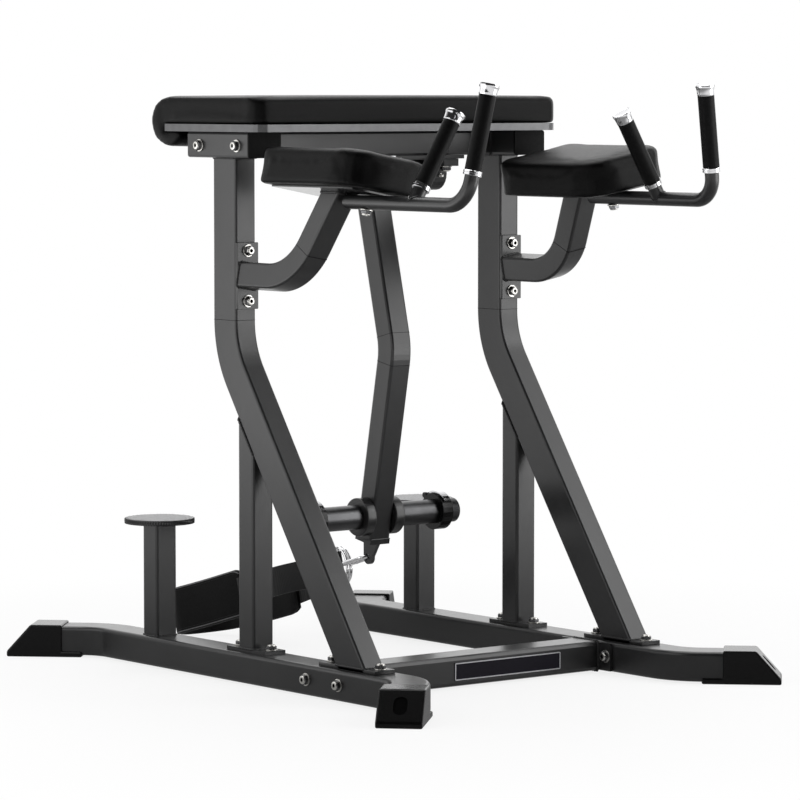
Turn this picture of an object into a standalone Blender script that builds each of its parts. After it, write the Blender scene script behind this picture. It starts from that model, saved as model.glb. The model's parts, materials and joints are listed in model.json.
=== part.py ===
"""Reverse hyperextension machine.

Two base rails with splayed ends carry two bent posts. On top of the posts lie two brackets, a beam
and a padded table. In two bearings under the beam swings a pendulum with a weight horn and an
ankle strap. Padded elbow rests with two handles each stand off the front of the posts.

Metres, +Z up. X runs across the machine, the user stands at -Y with the elbows on the rests, and
+Y is the rear. The origin is on the floor, in the middle of the machine.
"""

import math

import bmesh
import bpy
from mathutils import Matrix, Vector

X_AXIS = Vector((1, 0, 0))
Y_AXIS = Vector((0, 1, 0))
Z_AXIS = Vector((0, 0, 1))
SIDES = (("left", -1), ("right", 1))

# Gaps between solids
TOUCH = 0.0003
RUNNING = 0.0003

# Tubes
FRAME_WALL = 0.003
VENT_RADIUS = 0.004
CORNER_POINTS = 3
BEND_STEPS = 6

# Base rails, with both ends splayed outward
RAIL_X = 0.340
RAIL_WIDTH = 0.078
RAIL_HEIGHT = 0.060
RAIL_CORNER = 0.008
RAIL_BASE = 0.0033
RAIL_BEND_Y = 0.511
RAIL_BEND_RADIUS = 0.112
SPLAY = math.radians(46)
SPLAY_REACH = 0.204
RAIL_TOP = RAIL_BASE + RAIL_HEIGHT

# Moulded foot caps on the rail ends
CAP_WALL = 0.005
CAP_LENGTH = 0.158
CAP_TRAY = 0.042
CAP_LIP = 0.0115
CAP_TOP = 0.067
CAP_FLAT_END = 0.108
CAP_FLOOR = 0.003
CAP_CEILING = 0.0645
CAP_STOP = 0.104
CAP_RECESS_WIDTH = 0.026
CAP_RECESS_LENGTH = 0.040
CAP_RECESS_CORNER = 0.0129
CAP_RECESS_DEPTH = 0.003
CAP_ROUND = 0.003

# Front crossbar and its name plate
CROSSBAR_Y = -0.2794
CROSSBAR_WIDTH = 0.078
CROSSBAR_PLATE_LENGTH = 0.151
CROSSBAR_PLATE_THICKNESS = 0.006
CROSSBAR_PLATE_MARGIN = 0.002
NAME_PLATE_X = 0.056
NAME_PLATE_LENGTH = 0.2735
NAME_PLATE_HEIGHT = 0.0355
NAME_PLATE_THICKNESS = 0.0015

# Bent posts
POST_WIDTH = 0.050
POST_DEPTH = 0.075
POST_CORNER = 0.005
TOWER_Y = 0.0565
POST_SLANT = math.radians(34.5)
POST_BEND_Z = 0.6594
POST_BEND_RADIUS = 0.1975
BASE_PLATE_THICKNESS = 0.0075
POST_PLATE_LENGTH = 0.177
POST_PLATE_SHIFT = 0.0096

# Straight rear posts, cut to meet the back of the bent posts
STRUT_SIZE = 0.050
STRUT_CORNER = 0.005
REAR_POST_Y = -0.0125
REAR_PLATE_LENGTH = 0.128

# Step posts and step plates
STEP_POST_Y = 0.3184
STEP_TOP_Z = 0.305
STEP_RADIUS = 0.072
STEP_THICKNESS = 0.012
STEP_CHAMFER = 0.0015

# Top brackets and beam
BRACKET_BOTTOM = 1.042
BRACKET_HEIGHT = 0.051
BRACKET_WIDTH = 0.079
BRACKET_LENGTH = 0.205
BRACKET_CORNER = 0.005
BRACKET_CAP_THICKNESS = 0.004
BEAM_SIZE = 0.050
BEAM_CORNER = 0.005
BEARING_PAD_THICKNESS = 0.006
BEARING_PAD_WIDTH = 0.060
BEARING_PAD_LENGTH = 0.150

# Main pad
TABLE_HALF_WIDTH = 0.388
TABLE_FRONT = -0.084
BOARD_THICKNESS = 0.0148
BOARD_INSET = 0.001
BOARD_REAR = 0.230
BOARD_CORNER = 0.026
BOARD_REAR_CORNER = 0.003
BOARD_BOTTOM = BRACKET_BOTTOM + BRACKET_HEIGHT + TOUCH
BOARD_TOP = BOARD_BOTTOM + BOARD_THICKNESS
CUSHION_HEIGHT = 0.0543
CUSHION_TOP = BOARD_TOP + CUSHION_HEIGHT
CUSHION_CROWN = 0.0015
CUSHION_EDGE = 0.012
CUSHION_END_ROUND = 0.004
CUSHION_CORNER = 0.027
NOSE_REACH = 0.2717
NOSE_RISE = 0.0059
NOSE_DROP = 0.0303
NOSE_Z = BOARD_TOP + NOSE_RISE
NOSE_BOTTOM = BOARD_BOTTOM - NOSE_DROP
NOSE_BOTTOM_Y = 0.214
NOSE_RETURN_Y = 0.179
NOSE_CREST_SHIFT = 0.006
HEEL_DROP = 0.006
CUSHION_LOWER_ROUND = 0.004

# Pivot shaft and its two bearings
BEARING_X = 0.158
BEARING_BASE_LENGTH = 0.140
BEARING_BASE_WIDTH = 0.038
BEARING_BASE_THICKNESS = 0.015
BEARING_RADIUS = 0.0345
BEARING_WIDTH = 0.034
BEARING_DROP = 0.0305
SHAFT_RADIUS = 0.0125
SHAFT_HALF_LENGTH = 0.182
ROUND_SIDES = 24

# Pendulum
ARM_SIZE = 0.050
ARM_CORNER = 0.005
ARM_BEND_DROP = 0.352
ARM_BEND_FORWARD = 0.085
ARM_BEND_RADIUS = 0.134
ARM_RETURN = math.radians(10.8)
ARM_END_Z = 0.2615
SLEEVE_RADIUS = 0.028
SLEEVE_HALF_LENGTH = 0.135
SLEEVE_SINK = 0.8
END_PLATE_THICKNESS = 0.006
TAB_THICKNESS = 0.008
TAB_TOP_WIDTH = 0.050
TAB_TIP_RADIUS = 0.014
TAB_TIP_FORWARD = 0.003
TAB_TIP_DROP = 0.001
TAB_TIP_START = 170
TAB_TIP_SWEEP = 200
TAB_HOLE_Y = 0.060
TAB_HOLE_Z = 0.2224
TAB_HOLE_RADIUS = 0.007

# Weight horn and its collars
HORN_Z = 0.3085
HORN_RADIUS = 0.025
HORN_END = 0.205
STOP_RADIUS = 0.039
STOP_WIDTH = 0.023
LOCK_X = 0.1625
LOCK_RADIUS = 0.038
LOCK_WIDTH = 0.027
LOCK_LUG = 0.012
LEVER_THICKNESS = 0.0035
LEVER_WIDTH = 0.016
LEVER_ARC = math.radians(95)
LEVER_PIN_ANGLE = math.radians(40)
LEVER_GAP = 0.0008
LOCK_LUG_SINK = 0.003
LOCK_SLOT_GAP = 0.0015

# Elbow rests, in a frame that leans in about the middle of each flange
ELBOW_LEAN = math.radians(10.4)
ELBOW_Z = 0.809
FLANGE_HEIGHT = 0.132
FLANGE_THICKNESS = 0.008
ELBOW_ARM_SIZE = 0.050
ELBOW_ARM_CORNER = 0.005
ELBOW_BEND_Y = -0.1745
ELBOW_BEND = math.radians(62)
ELBOW_BEND_RADIUS = 0.125
ELBOW_BOARD_BOTTOM = 0.1687
ELBOW_BOARD_THICKNESS = 0.004
ELBOW_BOARD_INSET = 0.022
ELBOW_HALF_WIDTH = 0.1015
ELBOW_FRONT = -0.4255
ELBOW_REAR = -0.126
ELBOW_TOP = 0.2454
ELBOW_CROWN = 0.0025
ELBOW_EDGE = 0.010
ELBOW_FRONT_CORNER = 0.050
ELBOW_REAR_CORNER = 0.022
ELBOW_PULL = 0.0015
ELBOW_LEAST_CORNER = 0.004
ELBOW_LOWER_INSET = 0.003
ELBOW_LOWER_ROUND = 0.004

# Handles
BAR_RADIUS = 0.014
BAR_WALL = 0.0025
BAR_BEND_Y = -0.654
BAR_BEND_RADIUS = 0.052
BAR_TILT = math.radians(4.4)
UPRIGHT_TOP = 0.3625
INNER_HANDLE_Y = -0.497
INNER_HANDLE_LEAN = math.radians(20.6)
INNER_HANDLE_LENGTH = 0.178
GRIP_LENGTH = 0.142
INNER_GRIP_LENGTH = 0.137
GRIP_RADIUS = 0.0164
GRIP_COLLAR_LENGTH = 0.0095
GRIP_COLLAR_RADIUS = 0.0179
GRIP_CAP_LENGTH = 0.022
GRIP_CAP_NECK_RADIUS = 0.0172
GRIP_CAP_WAIST_RADIUS = 0.0177
GRIP_CAP_RIM_RADIUS = 0.0196
GRIP_CAP_RIM_LENGTH = 0.005
GRIP_CAP_EDGE = 0.001
BAR_SIDES = 16

# Carabiner, rings and ankle strap, in a frame that slopes down from the tab's hole to the floor
LINK_RADIUS = 0.004
LINK_LENGTH = 0.084
LINK_WIDTH = 0.038
LINK_SLACK = 0.0012
RING_RADIUS = 0.003
RING_HEIGHT = 0.078
RING_DEPTH = 0.040
RING_X = 0.0045
RING_SLACK = 0.0001
RING_CORNER = 0.005
STRAP_REACH = 0.632
STRAP_PAD_HEIGHT = 0.100
STRAP_PAD_THICKNESS = 0.018
WEBBING_HEIGHT = 0.060
WEBBING_THICKNESS = 0.006
STRAP_HALF_WIDTH = 0.076
STRAP_PAD_START = 0.345
STRAP_SPREAD_END = 0.240
STRAP_FLOOR_GAP = 0.0012
STRAP_EYE_RADIUS = 0.0053
STRAP_EYE_REACH = 0.0045
STRAP_WIDENING = 0.030
STRAP_DRIFT = -0.020
STRAP_SAG_LEFT = 0.004
STRAP_SAG_RIGHT = 0.010
STRAP_PAD_ROUND = 0.3


def clear_scene():
    for obj in list(bpy.data.objects):
        bpy.data.objects.remove(obj, do_unlink=True)


def collection(name):
    made = bpy.data.collections.new(name)
    bpy.context.scene.collection.children.link(made)
    return made


def material(name, colour, roughness, metallic=0.0):
    made = bpy.data.materials.new(name)
    made.use_nodes = True
    shader = made.node_tree.nodes["Principled BSDF"]
    shader.inputs["Base Color"].default_value = (*colour, 1)
    shader.inputs["Roughness"].default_value = roughness
    shader.inputs["Metallic"].default_value = metallic
    return made


clear_scene()
PARTS = collection("reverse_hyperextension_machine")
CUTTERS = collection("cutters")
POWDER_COAT = material("powder_coat", (0.055, 0.055, 0.058), 0.45)
PLASTIC = material("black_plastic", (0.012, 0.012, 0.013), 0.5)
VINYL = material("black_vinyl", (0.017, 0.017, 0.018), 0.55)
BOARD = material("grey_board", (0.14, 0.14, 0.145), 0.6)
CHROME = material("chrome", (0.75, 0.75, 0.76), 0.15, 1.0)
STEEL = material("bright_steel", (0.5, 0.5, 0.51), 0.3, 1.0)
RUBBER = material("black_rubber", (0.015, 0.015, 0.016), 0.7)
WEBBING = material("black_webbing", (0.012, 0.012, 0.013), 0.8)


# Basic shapes


def place(name, mesh, finish, parent=None):
    """An object with this mesh in the part's collection."""
    obj = bpy.data.objects.new(name, mesh)
    PARTS.objects.link(obj)
    mesh.materials.clear()
    mesh.materials.append(finish)
    mesh.shade_smooth()
    mesh.set_sharp_from_angle(angle=math.radians(35))
    obj.parent = parent
    return obj


def finish_bmesh(bm, name):
    bmesh.ops.recalc_face_normals(bm, faces=bm.faces)
    mesh = bpy.data.meshes.new(name)
    bm.to_mesh(mesh)
    bm.free()
    return mesh


def box(name, low, high, finish, parent=None, rounding=0.0, segments=2):
    """A box between two corners, with its edges rounded."""
    low = Vector(low)
    high = Vector(high)
    bm = bmesh.new()
    shape = Matrix.Translation((low + high) / 2) @ Matrix.Diagonal((*(high - low), 1))
    bmesh.ops.create_cube(bm, size=1, matrix=shape)
    if rounding:
        bmesh.ops.bevel(bm, geom=bm.edges, offset=rounding, segments=segments, affect="EDGES", profile=0.5)
    return place(name, finish_bmesh(bm, name), finish, parent)


def cylinder(name, centre, axis, radius, length, finish, parent=None, sides=ROUND_SIDES, end_radius=None):
    """A cylinder, or a cone with end_radius at its far end, about an axis through its centre."""
    bm = bmesh.new()
    turn = Vector(axis).normalized().to_track_quat("Z", "Y").to_matrix().to_4x4()
    far = radius if end_radius is None else end_radius
    bmesh.ops.create_cone(
        bm,
        cap_ends=True,
        segments=sides,
        radius1=radius,
        radius2=far,
        depth=length,
        matrix=Matrix.Translation(Vector(centre)) @ turn,
    )
    return place(name, finish_bmesh(bm, name), finish, parent)


def as_cutter(obj):
    """Hides a helper solid, so that it only cuts or joins."""
    PARTS.objects.unlink(obj)
    CUTTERS.objects.link(obj)
    obj.hide_render = True
    obj.display_type = "WIRE"
    return obj


def combine(obj, other, operation):
    as_cutter(other)
    modifier = obj.modifiers.new(operation.lower(), "BOOLEAN")
    modifier.operation = operation
    modifier.solver = "EXACT"
    modifier.object = other
    return obj


def cut(obj, other):
    return combine(obj, other, "DIFFERENCE")


def join(obj, other):
    return combine(obj, other, "UNION")


def rounded_section(width, height, corner, points=CORNER_POINTS):
    """Points round a rectangle with rounded corners, width along x and height along y."""
    section = []
    for quarter, (sx, sy) in enumerate(((1, 1), (-1, 1), (-1, -1), (1, -1))):
        for step in range(points):
            angle = math.pi / 2 * (quarter + step / (points - 1))
            x = sx * (width / 2 - corner) + corner * math.cos(angle)
            y = sy * (height / 2 - corner) + corner * math.sin(angle)
            section.append((x, y))
    return section


def run(length):
    return ("run", length, 0.0)


def bend(radius, angle):
    return ("bend", radius, angle)


def bent_tube(name, start, heading, across, section, moves, finish, wall=None, parent=None):
    """Sweeps a section along runs and bends. A positive bend turns right-handed about across.

    With a wall the tube is hollow and open at both ends, and without one it is solid."""
    here = Vector(start)
    heading = Vector(heading).normalized()
    bm = bmesh.new()
    lift = across.cross(heading)
    ring = [bm.verts.new(here + across * x + lift * y) for x, y in section]
    edges = [bm.edges.new(pair) for pair in zip(ring, ring[1:] + ring[:1])]
    for kind, size, angle in moves:
        if kind == "run":
            grown = bmesh.ops.extrude_edge_only(bm, edges=edges)["geom"]
            moved = [item for item in grown if isinstance(item, bmesh.types.BMVert)]
            bmesh.ops.translate(bm, verts=moved, vec=heading * size)
            edges = [item for item in grown if isinstance(item, bmesh.types.BMEdge) and item.is_boundary]
            here = here + heading * size
        else:
            centre = here + across.cross(heading) * math.copysign(size, angle)
            spun = bmesh.ops.spin(
                bm, geom=edges, cent=centre, axis=across, angle=angle, steps=BEND_STEPS, use_duplicate=False
            )
            edges = [item for item in spun["geom_last"] if isinstance(item, bmesh.types.BMEdge)]
            turn = Matrix.Rotation(angle, 3, across)
            heading = turn @ heading
            here = centre + turn @ (here - centre)
    bmesh.ops.remove_doubles(bm, verts=bm.verts, dist=1e-6)
    if wall is None:
        ends = [edge for edge in bm.edges if edge.is_boundary]
        bmesh.ops.holes_fill(bm, edges=ends, sides=0)
    obj = place(name, finish_bmesh(bm, name), finish, parent)
    if wall is not None:
        shell = obj.modifiers.new("wall", "SOLIDIFY")
        shell.thickness = wall
        shell.offset = -1
        shell.use_even_offset = True
    return obj


def bend_leg(radius, angle):
    """The length of run that a bend of this radius takes from each side of its corner."""
    return radius * math.tan(abs(angle) / 2)


def filleted(corners, radius, steps=BEND_STEPS):
    """A polyline through these corners, with an arc of this radius at each inner corner."""
    points = [Vector(corners[0])]
    for before, corner, after in zip(corners, corners[1:], corners[2:]):
        corner = Vector(corner)
        back = (Vector(before) - corner).normalized()
        ahead = (Vector(after) - corner).normalized()
        angle = math.pi - back.angle(ahead)
        leg = bend_leg(radius, angle)
        middle = corner + (back + ahead).normalized() * radius / math.cos(angle / 2)
        first = corner + back * leg - middle
        axis = first.cross(corner + ahead * leg - middle).normalized()
        for step in range(steps + 1):
            points.append(middle + Matrix.Rotation(angle * step / steps, 3, axis) @ first)
    points.append(Vector(corners[-1]))
    return points


def bar(name, points, radius, finish, parent=None, closed=False, resolution=3):
    """A round bar along a polyline, made as a bevelled curve and turned into a closed mesh."""
    curve = bpy.data.curves.new(name, "CURVE")
    curve.dimensions = "3D"
    curve.bevel_depth = radius
    curve.bevel_resolution = resolution
    curve.use_fill_caps = not closed
    spline = curve.splines.new("POLY")
    spline.points.add(len(points) - 1)
    for point, at in zip(spline.points, points):
        point.co = (*at, 1)
    spline.use_cyclic_u = closed
    return curve_to_mesh(name, curve, finish, parent)


def flat_plate(name, outline, thickness, matrix, finish, parent=None):
    """A plate of even thickness from a flat outline, centred on the outline's plane."""
    curve = bpy.data.curves.new(name, "CURVE")
    curve.dimensions = "2D"
    curve.fill_mode = "BOTH"
    curve.extrude = thickness / 2
    spline = curve.splines.new("POLY")
    spline.points.add(len(outline) - 1)
    for point, (x, y) in zip(spline.points, outline):
        point.co = (x, y, 0, 1)
    spline.use_cyclic_u = True
    obj = curve_to_mesh(name, curve, finish, parent)
    obj.data.transform(matrix)
    return obj


def curve_to_mesh(name, curve, finish, parent):
    guide = bpy.data.objects.new(name + "_guide", curve)
    bpy.context.scene.collection.objects.link(guide)
    graph = bpy.context.evaluated_depsgraph_get()
    mesh = bpy.data.meshes.new_from_object(guide.evaluated_get(graph))
    bpy.data.objects.remove(guide, do_unlink=True)
    bm = bmesh.new()
    bm.from_mesh(mesh)
    bmesh.ops.remove_doubles(bm, verts=bm.verts, dist=1e-6)
    bmesh.ops.recalc_face_normals(bm, faces=bm.faces)
    bm.to_mesh(mesh)
    bm.free()
    return place(name, mesh, finish, parent)


def turned(name, profile, matrix, finish, parent=None, sides=ROUND_SIDES):
    """A turned ring or plug about local Z, from (radius, height) points in order round its outline."""
    bm = bmesh.new()
    verts = [bm.verts.new((radius, 0, height)) for radius, height in profile]
    edges = [bm.edges.new(pair) for pair in zip(verts, verts[1:] + verts[:1])]
    bmesh.ops.spin(
        bm, geom=edges, cent=(0, 0, 0), axis=Z_AXIS, angle=2 * math.pi, steps=sides, use_merge=True
    )
    bmesh.ops.remove_doubles(bm, verts=bm.verts, dist=1e-6)
    bmesh.ops.dissolve_degenerate(bm, dist=1e-7, edges=bm.edges)
    mesh = finish_bmesh(bm, name)
    mesh.transform(matrix)
    return place(name, mesh, finish, parent)


def ring_profile(inner, outer, low, high, chamfer=0.001):
    """The outline of a ring with chamfered outer corners."""
    return [
        (inner, low),
        (outer - chamfer, low),
        (outer, low + chamfer),
        (outer, high - chamfer),
        (outer - chamfer, high),
        (inner, high),
    ]


def along(axis, at):
    """The matrix that puts local Z on this axis, at this point."""
    return Matrix.Translation(Vector(at)) @ Vector(axis).to_track_quat("Z", "Y").to_matrix().to_4x4()


def vent(name, at, axis):
    """The cutter for the small hole that a welded-up tube has, so that it can be coated inside."""
    return cylinder(name, at, axis, VENT_RADIUS, 4 * FRAME_WALL, POWDER_COAT, sides=12)


# Base


def rail_moves(inset):
    """Runs and bends of a rail from its front end to its rear end, stopping this far inside its tips."""
    leg = bend_leg(RAIL_BEND_RADIUS, SPLAY)
    return [
        run(SPLAY_REACH - inset - leg),
        bend(RAIL_BEND_RADIUS, SPLAY),
        run(2 * (RAIL_BEND_Y - leg)),
        bend(RAIL_BEND_RADIUS, SPLAY),
        run(SPLAY_REACH - inset - leg),
    ]


def tip(side, end):
    """The middle of a rail's tip on the floor, and the direction out to it."""
    out = Vector((side * math.sin(SPLAY), end * math.cos(SPLAY), 0))
    corner = Vector((side * RAIL_X, end * RAIL_BEND_Y, 0))
    return corner + out * SPLAY_REACH, out


def make_rail(word, side):
    inset = CAP_LENGTH - CAP_STOP + TOUCH
    end, out = tip(side, -1)
    start = end - out * inset + Z_AXIS * (RAIL_BASE + RAIL_HEIGHT / 2)
    moves = [(kind, size, -side * angle) for kind, size, angle in rail_moves(inset)]
    section = [(y, x) for x, y in rounded_section(RAIL_WIDTH, RAIL_HEIGHT, RAIL_CORNER)]
    bent_tube("rail_" + word, start, -out, Z_AXIS, section, moves, POWDER_COAT, FRAME_WALL)


def make_foot_cap(name, side, end):
    """A cap whose tray runs under the tube, with a closed body and a sloped nose beyond it."""
    at, out = tip(side, end)
    frame = bpy.data.objects.new(name + "_frame", None)
    PARTS.objects.link(frame)
    frame.location = at
    frame.rotation_euler = (0, 0, math.atan2(out.y, out.x))
    half = RAIL_WIDTH / 2 + TOUCH + CAP_WALL
    outline = [
        (-CAP_LENGTH, 0),
        (0, 0),
        (0, CAP_LIP),
        (CAP_FLAT_END - CAP_LENGTH, CAP_TOP),
        (CAP_TRAY - CAP_LENGTH, CAP_TOP),
        (CAP_TRAY - CAP_LENGTH, CAP_LIP),
        (-CAP_LENGTH, CAP_LIP),
    ]
    upright = Matrix.Rotation(math.pi / 2, 4, "X")
    cap = flat_plate(name, outline, 2 * half, upright, PLASTIC, frame)
    soft = cap.modifiers.new("rounding", "BEVEL")
    soft.width = CAP_ROUND
    soft.segments = 2
    soft.limit_method = "ANGLE"
    soft.angle_limit = math.radians(35)
    hollow_half = RAIL_WIDTH / 2 + TOUCH
    low = (-CAP_LENGTH - CAP_WALL, -hollow_half, CAP_FLOOR)
    high = (CAP_STOP - CAP_LENGTH, hollow_half, CAP_CEILING)
    cut(cap, box(name + "_hollow", low, high, PLASTIC, frame))
    slope_foot = Vector((0, 0, CAP_LIP))
    slope_head = Vector((CAP_FLAT_END - CAP_LENGTH, 0, CAP_TOP))
    slope = slope_head - slope_foot
    normal = Vector((slope.z, 0, -slope.x)).normalized()
    recess = rounded_section(CAP_RECESS_LENGTH, CAP_RECESS_WIDTH, CAP_RECESS_CORNER, 7)
    seat = Matrix.Translation((slope_foot + slope_head) / 2) @ Matrix(
        (
            (slope.normalized().x, 0, normal.x, 0),
            (0, -1, 0, 0),
            (slope.normalized().z, 0, normal.z, 0),
            (0, 0, 0, 1),
        )
    )
    cut(cap, flat_plate(name + "_recess", recess, 2 * CAP_RECESS_DEPTH, seat, PLASTIC, frame))


def make_crossbar():
    inner = RAIL_X - RAIL_WIDTH / 2 - TOUCH
    middle = Vector((CROSSBAR_PLATE_THICKNESS / 2 - inner, CROSSBAR_Y, RAIL_BASE + RAIL_HEIGHT / 2))
    section = rounded_section(CROSSBAR_WIDTH, RAIL_HEIGHT, RAIL_CORNER)
    span = [run(2 * inner - CROSSBAR_PLATE_THICKNESS)]
    crossbar = bent_tube("front_crossbar", middle, X_AXIS, Y_AXIS, section, span, POWDER_COAT, FRAME_WALL)
    for word, side in SIDES:
        ends = sorted((side * inner, side * (inner - CROSSBAR_PLATE_THICKNESS)))
        low = (ends[0], CROSSBAR_Y - CROSSBAR_PLATE_LENGTH / 2, RAIL_BASE + CROSSBAR_PLATE_MARGIN)
        high = (ends[1], CROSSBAR_Y + CROSSBAR_PLATE_LENGTH / 2, RAIL_TOP - CROSSBAR_PLATE_MARGIN)
        join(crossbar, box("crossbar_plate_" + word, low, high, POWDER_COAT))
    cut(crossbar, vent("crossbar_vent", (0, CROSSBAR_Y, RAIL_BASE), Z_AXIS))


def make_name_plate():
    """The framed plate on the crossbar's front, left blank."""
    front = CROSSBAR_Y - CROSSBAR_WIDTH / 2 - TOUCH
    middle_z = RAIL_BASE + RAIL_HEIGHT / 2
    half_length = NAME_PLATE_LENGTH / 2
    half_height = NAME_PLATE_HEIGHT / 2
    low = (NAME_PLATE_X - half_length, front - NAME_PLATE_THICKNESS, middle_z - half_height)
    high = (NAME_PLATE_X + half_length, front, middle_z + half_height)
    box("name_plate", low, high, BOARD)


# Posts


def slanted_reach():
    """How far in front of the tower a slanted post's centreline stands on its base plate."""
    return (POST_BEND_Z - RAIL_TOP - TOUCH - BASE_PLATE_THICKNESS) * math.tan(POST_SLANT)


def make_bent_post(word, side):
    leg = bend_leg(POST_BEND_RADIUS, POST_SLANT)
    top = BRACKET_BOTTOM - TOUCH
    start = Vector((side * RAIL_X, TOWER_Y, top))
    section = rounded_section(POST_WIDTH, POST_DEPTH, POST_CORNER)
    plate_top = RAIL_TOP + TOUCH + BASE_PLATE_THICKNESS
    past = POST_DEPTH * math.tan(POST_SLANT)
    slant = (POST_BEND_Z - plate_top) / math.cos(POST_SLANT) - leg + past
    moves = [run(top - POST_BEND_Z - leg), bend(POST_BEND_RADIUS, -POST_SLANT), run(slant)]
    name = "bent_post_" + word
    post = bent_tube(name, start, -Z_AXIS, X_AXIS, section, moves, POWDER_COAT, FRAME_WALL)
    foot_y = TOWER_Y - slanted_reach()
    below = box(
        name + "_foot_cut",
        (side * RAIL_X - POST_WIDTH, foot_y - 2 * POST_DEPTH, plate_top - 2 * POST_DEPTH),
        (side * RAIL_X + POST_WIDTH, foot_y + 2 * POST_DEPTH, plate_top - BASE_PLATE_THICKNESS / 2),
        POWDER_COAT,
    )
    cut(post, below)
    plate_y = foot_y + POST_PLATE_SHIFT
    join(post, base_plate(name + "_plate", side, plate_y, POST_PLATE_LENGTH))


def base_plate(name, side, y, length):
    low = (side * RAIL_X - POST_WIDTH / 2, y - length / 2, RAIL_TOP + TOUCH)
    high = (side * RAIL_X + POST_WIDTH / 2, y + length / 2, RAIL_TOP + TOUCH + BASE_PLATE_THICKNESS)
    return box(name, low, high, POWDER_COAT)


def make_rear_post(word, side):
    """A square post from its base plate up to the back of the slanted post."""
    name = "rear_post_" + word
    section = rounded_section(STRUT_SIZE, STRUT_SIZE, STRUT_CORNER)
    start = Vector((side * RAIL_X, REAR_POST_Y, RAIL_TOP + TOUCH + BASE_PLATE_THICKNESS / 2))
    length = POST_BEND_Z - RAIL_TOP
    post = bent_tube(name, start, Z_AXIS, X_AXIS, section, [run(length)], POWDER_COAT, FRAME_WALL)
    down = Vector((0, -math.sin(POST_SLANT), -math.cos(POST_SLANT)))
    back = Vector((0, math.cos(POST_SLANT), -math.sin(POST_SLANT)))
    corner = Vector((side * RAIL_X, TOWER_Y, POST_BEND_Z))
    middle = corner + down * length / 2 + back * (POST_DEPTH / 2 + TOUCH - length)
    block = box(name + "_mitre", (-POST_WIDTH, -length, -length), (POST_WIDTH, length, length), POWDER_COAT)
    block.data.transform(Matrix.Translation(middle) @ Matrix.Rotation(-POST_SLANT, 4, "X"))
    cut(post, block)
    join(post, base_plate(name + "_plate", side, REAR_POST_Y, REAR_PLATE_LENGTH))


def make_step(word, side):
    section = rounded_section(STRUT_SIZE, STRUT_SIZE, STRUT_CORNER)
    start = Vector((side * RAIL_X, STEP_POST_Y, RAIL_TOP + TOUCH))
    height = STEP_TOP_Z - STEP_THICKNESS - TOUCH - start.z
    bent_tube("step_post_" + word, start, Z_AXIS, X_AXIS, section, [run(height)], POWDER_COAT, FRAME_WALL)
    profile = ring_profile(0, STEP_RADIUS, -STEP_THICKNESS, 0, STEP_CHAMFER)
    top = along(Z_AXIS, (side * RAIL_X, STEP_POST_Y, STEP_TOP_Z))
    turned("step_plate_" + word, profile, top, POWDER_COAT)


# Top frame and main pad


def make_bracket(word, side):
    half = BRACKET_LENGTH / 2 - BRACKET_CAP_THICKNESS - TOUCH
    middle_z = BRACKET_BOTTOM + BRACKET_HEIGHT / 2
    start = Vector((side * RAIL_X, TOWER_Y - half, middle_z))
    section = rounded_section(BRACKET_WIDTH, BRACKET_HEIGHT, BRACKET_CORNER)
    name = "top_bracket_" + word
    bracket = bent_tube(name, start, Y_AXIS, X_AXIS, section, [run(2 * half)], POWDER_COAT, FRAME_WALL)
    join(bracket, bracket_end(name + "_rear_end", side, 1, half, POWDER_COAT))
    bracket_end("bracket_cap_" + word, side, -1, half + TOUCH, PLASTIC)


def bracket_end(name, side, end, inner, finish):
    """A plate over one end of a bracket, from this far behind or in front of its middle."""
    thickness = BRACKET_LENGTH / 2 - inner
    outline = rounded_section(BRACKET_WIDTH, BRACKET_HEIGHT, BRACKET_CORNER)
    middle = (side * RAIL_X, TOWER_Y + end * (inner + thickness / 2), BRACKET_BOTTOM + BRACKET_HEIGHT / 2)
    seat = Matrix.Translation(middle) @ Matrix.Rotation(math.pi / 2, 4, "X")
    return flat_plate(name, outline, thickness, seat, finish)


def make_beam():
    """The tube between the brackets, with a plate below it for each bearing."""
    half = RAIL_X - BRACKET_WIDTH / 2 - TOUCH
    start = Vector((-half, TOWER_Y, BRACKET_BOTTOM + BEAM_SIZE / 2))
    section = rounded_section(BEAM_SIZE, BEAM_SIZE, BEAM_CORNER)
    beam = bent_tube("top_beam", start, X_AXIS, Y_AXIS, section, [run(2 * half)], POWDER_COAT, FRAME_WALL)
    for word, side in SIDES:
        x = side * BEARING_X
        half_width = BEARING_PAD_WIDTH / 2
        half_length = BEARING_PAD_LENGTH / 2
        low = (x - half_width, TOWER_Y - half_length, BRACKET_BOTTOM - BEARING_PAD_THICKNESS)
        high = (x + half_width, TOWER_Y + half_length, BRACKET_BOTTOM + FRAME_WALL / 2)
        join(beam, box("bearing_plate_" + word, low, high, POWDER_COAT))


def make_table_board():
    """The board under the cushion, with round front corners and nearly square rear ones."""
    half = TABLE_HALF_WIDTH - BOARD_INSET
    ends = (TABLE_FRONT + BOARD_INSET, BOARD_REAR)
    outline = pad_outline(half, ends, BOARD_CORNER, BOARD_REAR_CORNER)
    middle = (0, 0, (BOARD_BOTTOM + BOARD_TOP) / 2)
    flat_plate("table_board", outline, BOARD_THICKNESS, Matrix.Translation(middle), BOARD)


def pad_outline(half, ends, front_corner, rear_corner, steps=4):
    """A pad's outline in X and Y between its front and rear ends, with two kinds of corner."""
    front, rear = ends
    points = []
    corners = ((1, 1, rear_corner), (-1, 1, rear_corner), (-1, -1, front_corner), (1, -1, front_corner))
    for quarter, (sx, sy, radius) in enumerate(corners):
        x = sx * (half - radius)
        y = (rear if sy > 0 else front) - sy * radius
        for step in range(steps + 1):
            angle = math.pi / 2 * (quarter + step / steps)
            points.append((x + radius * math.cos(angle), y + radius * math.sin(angle)))
    return points


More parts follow.
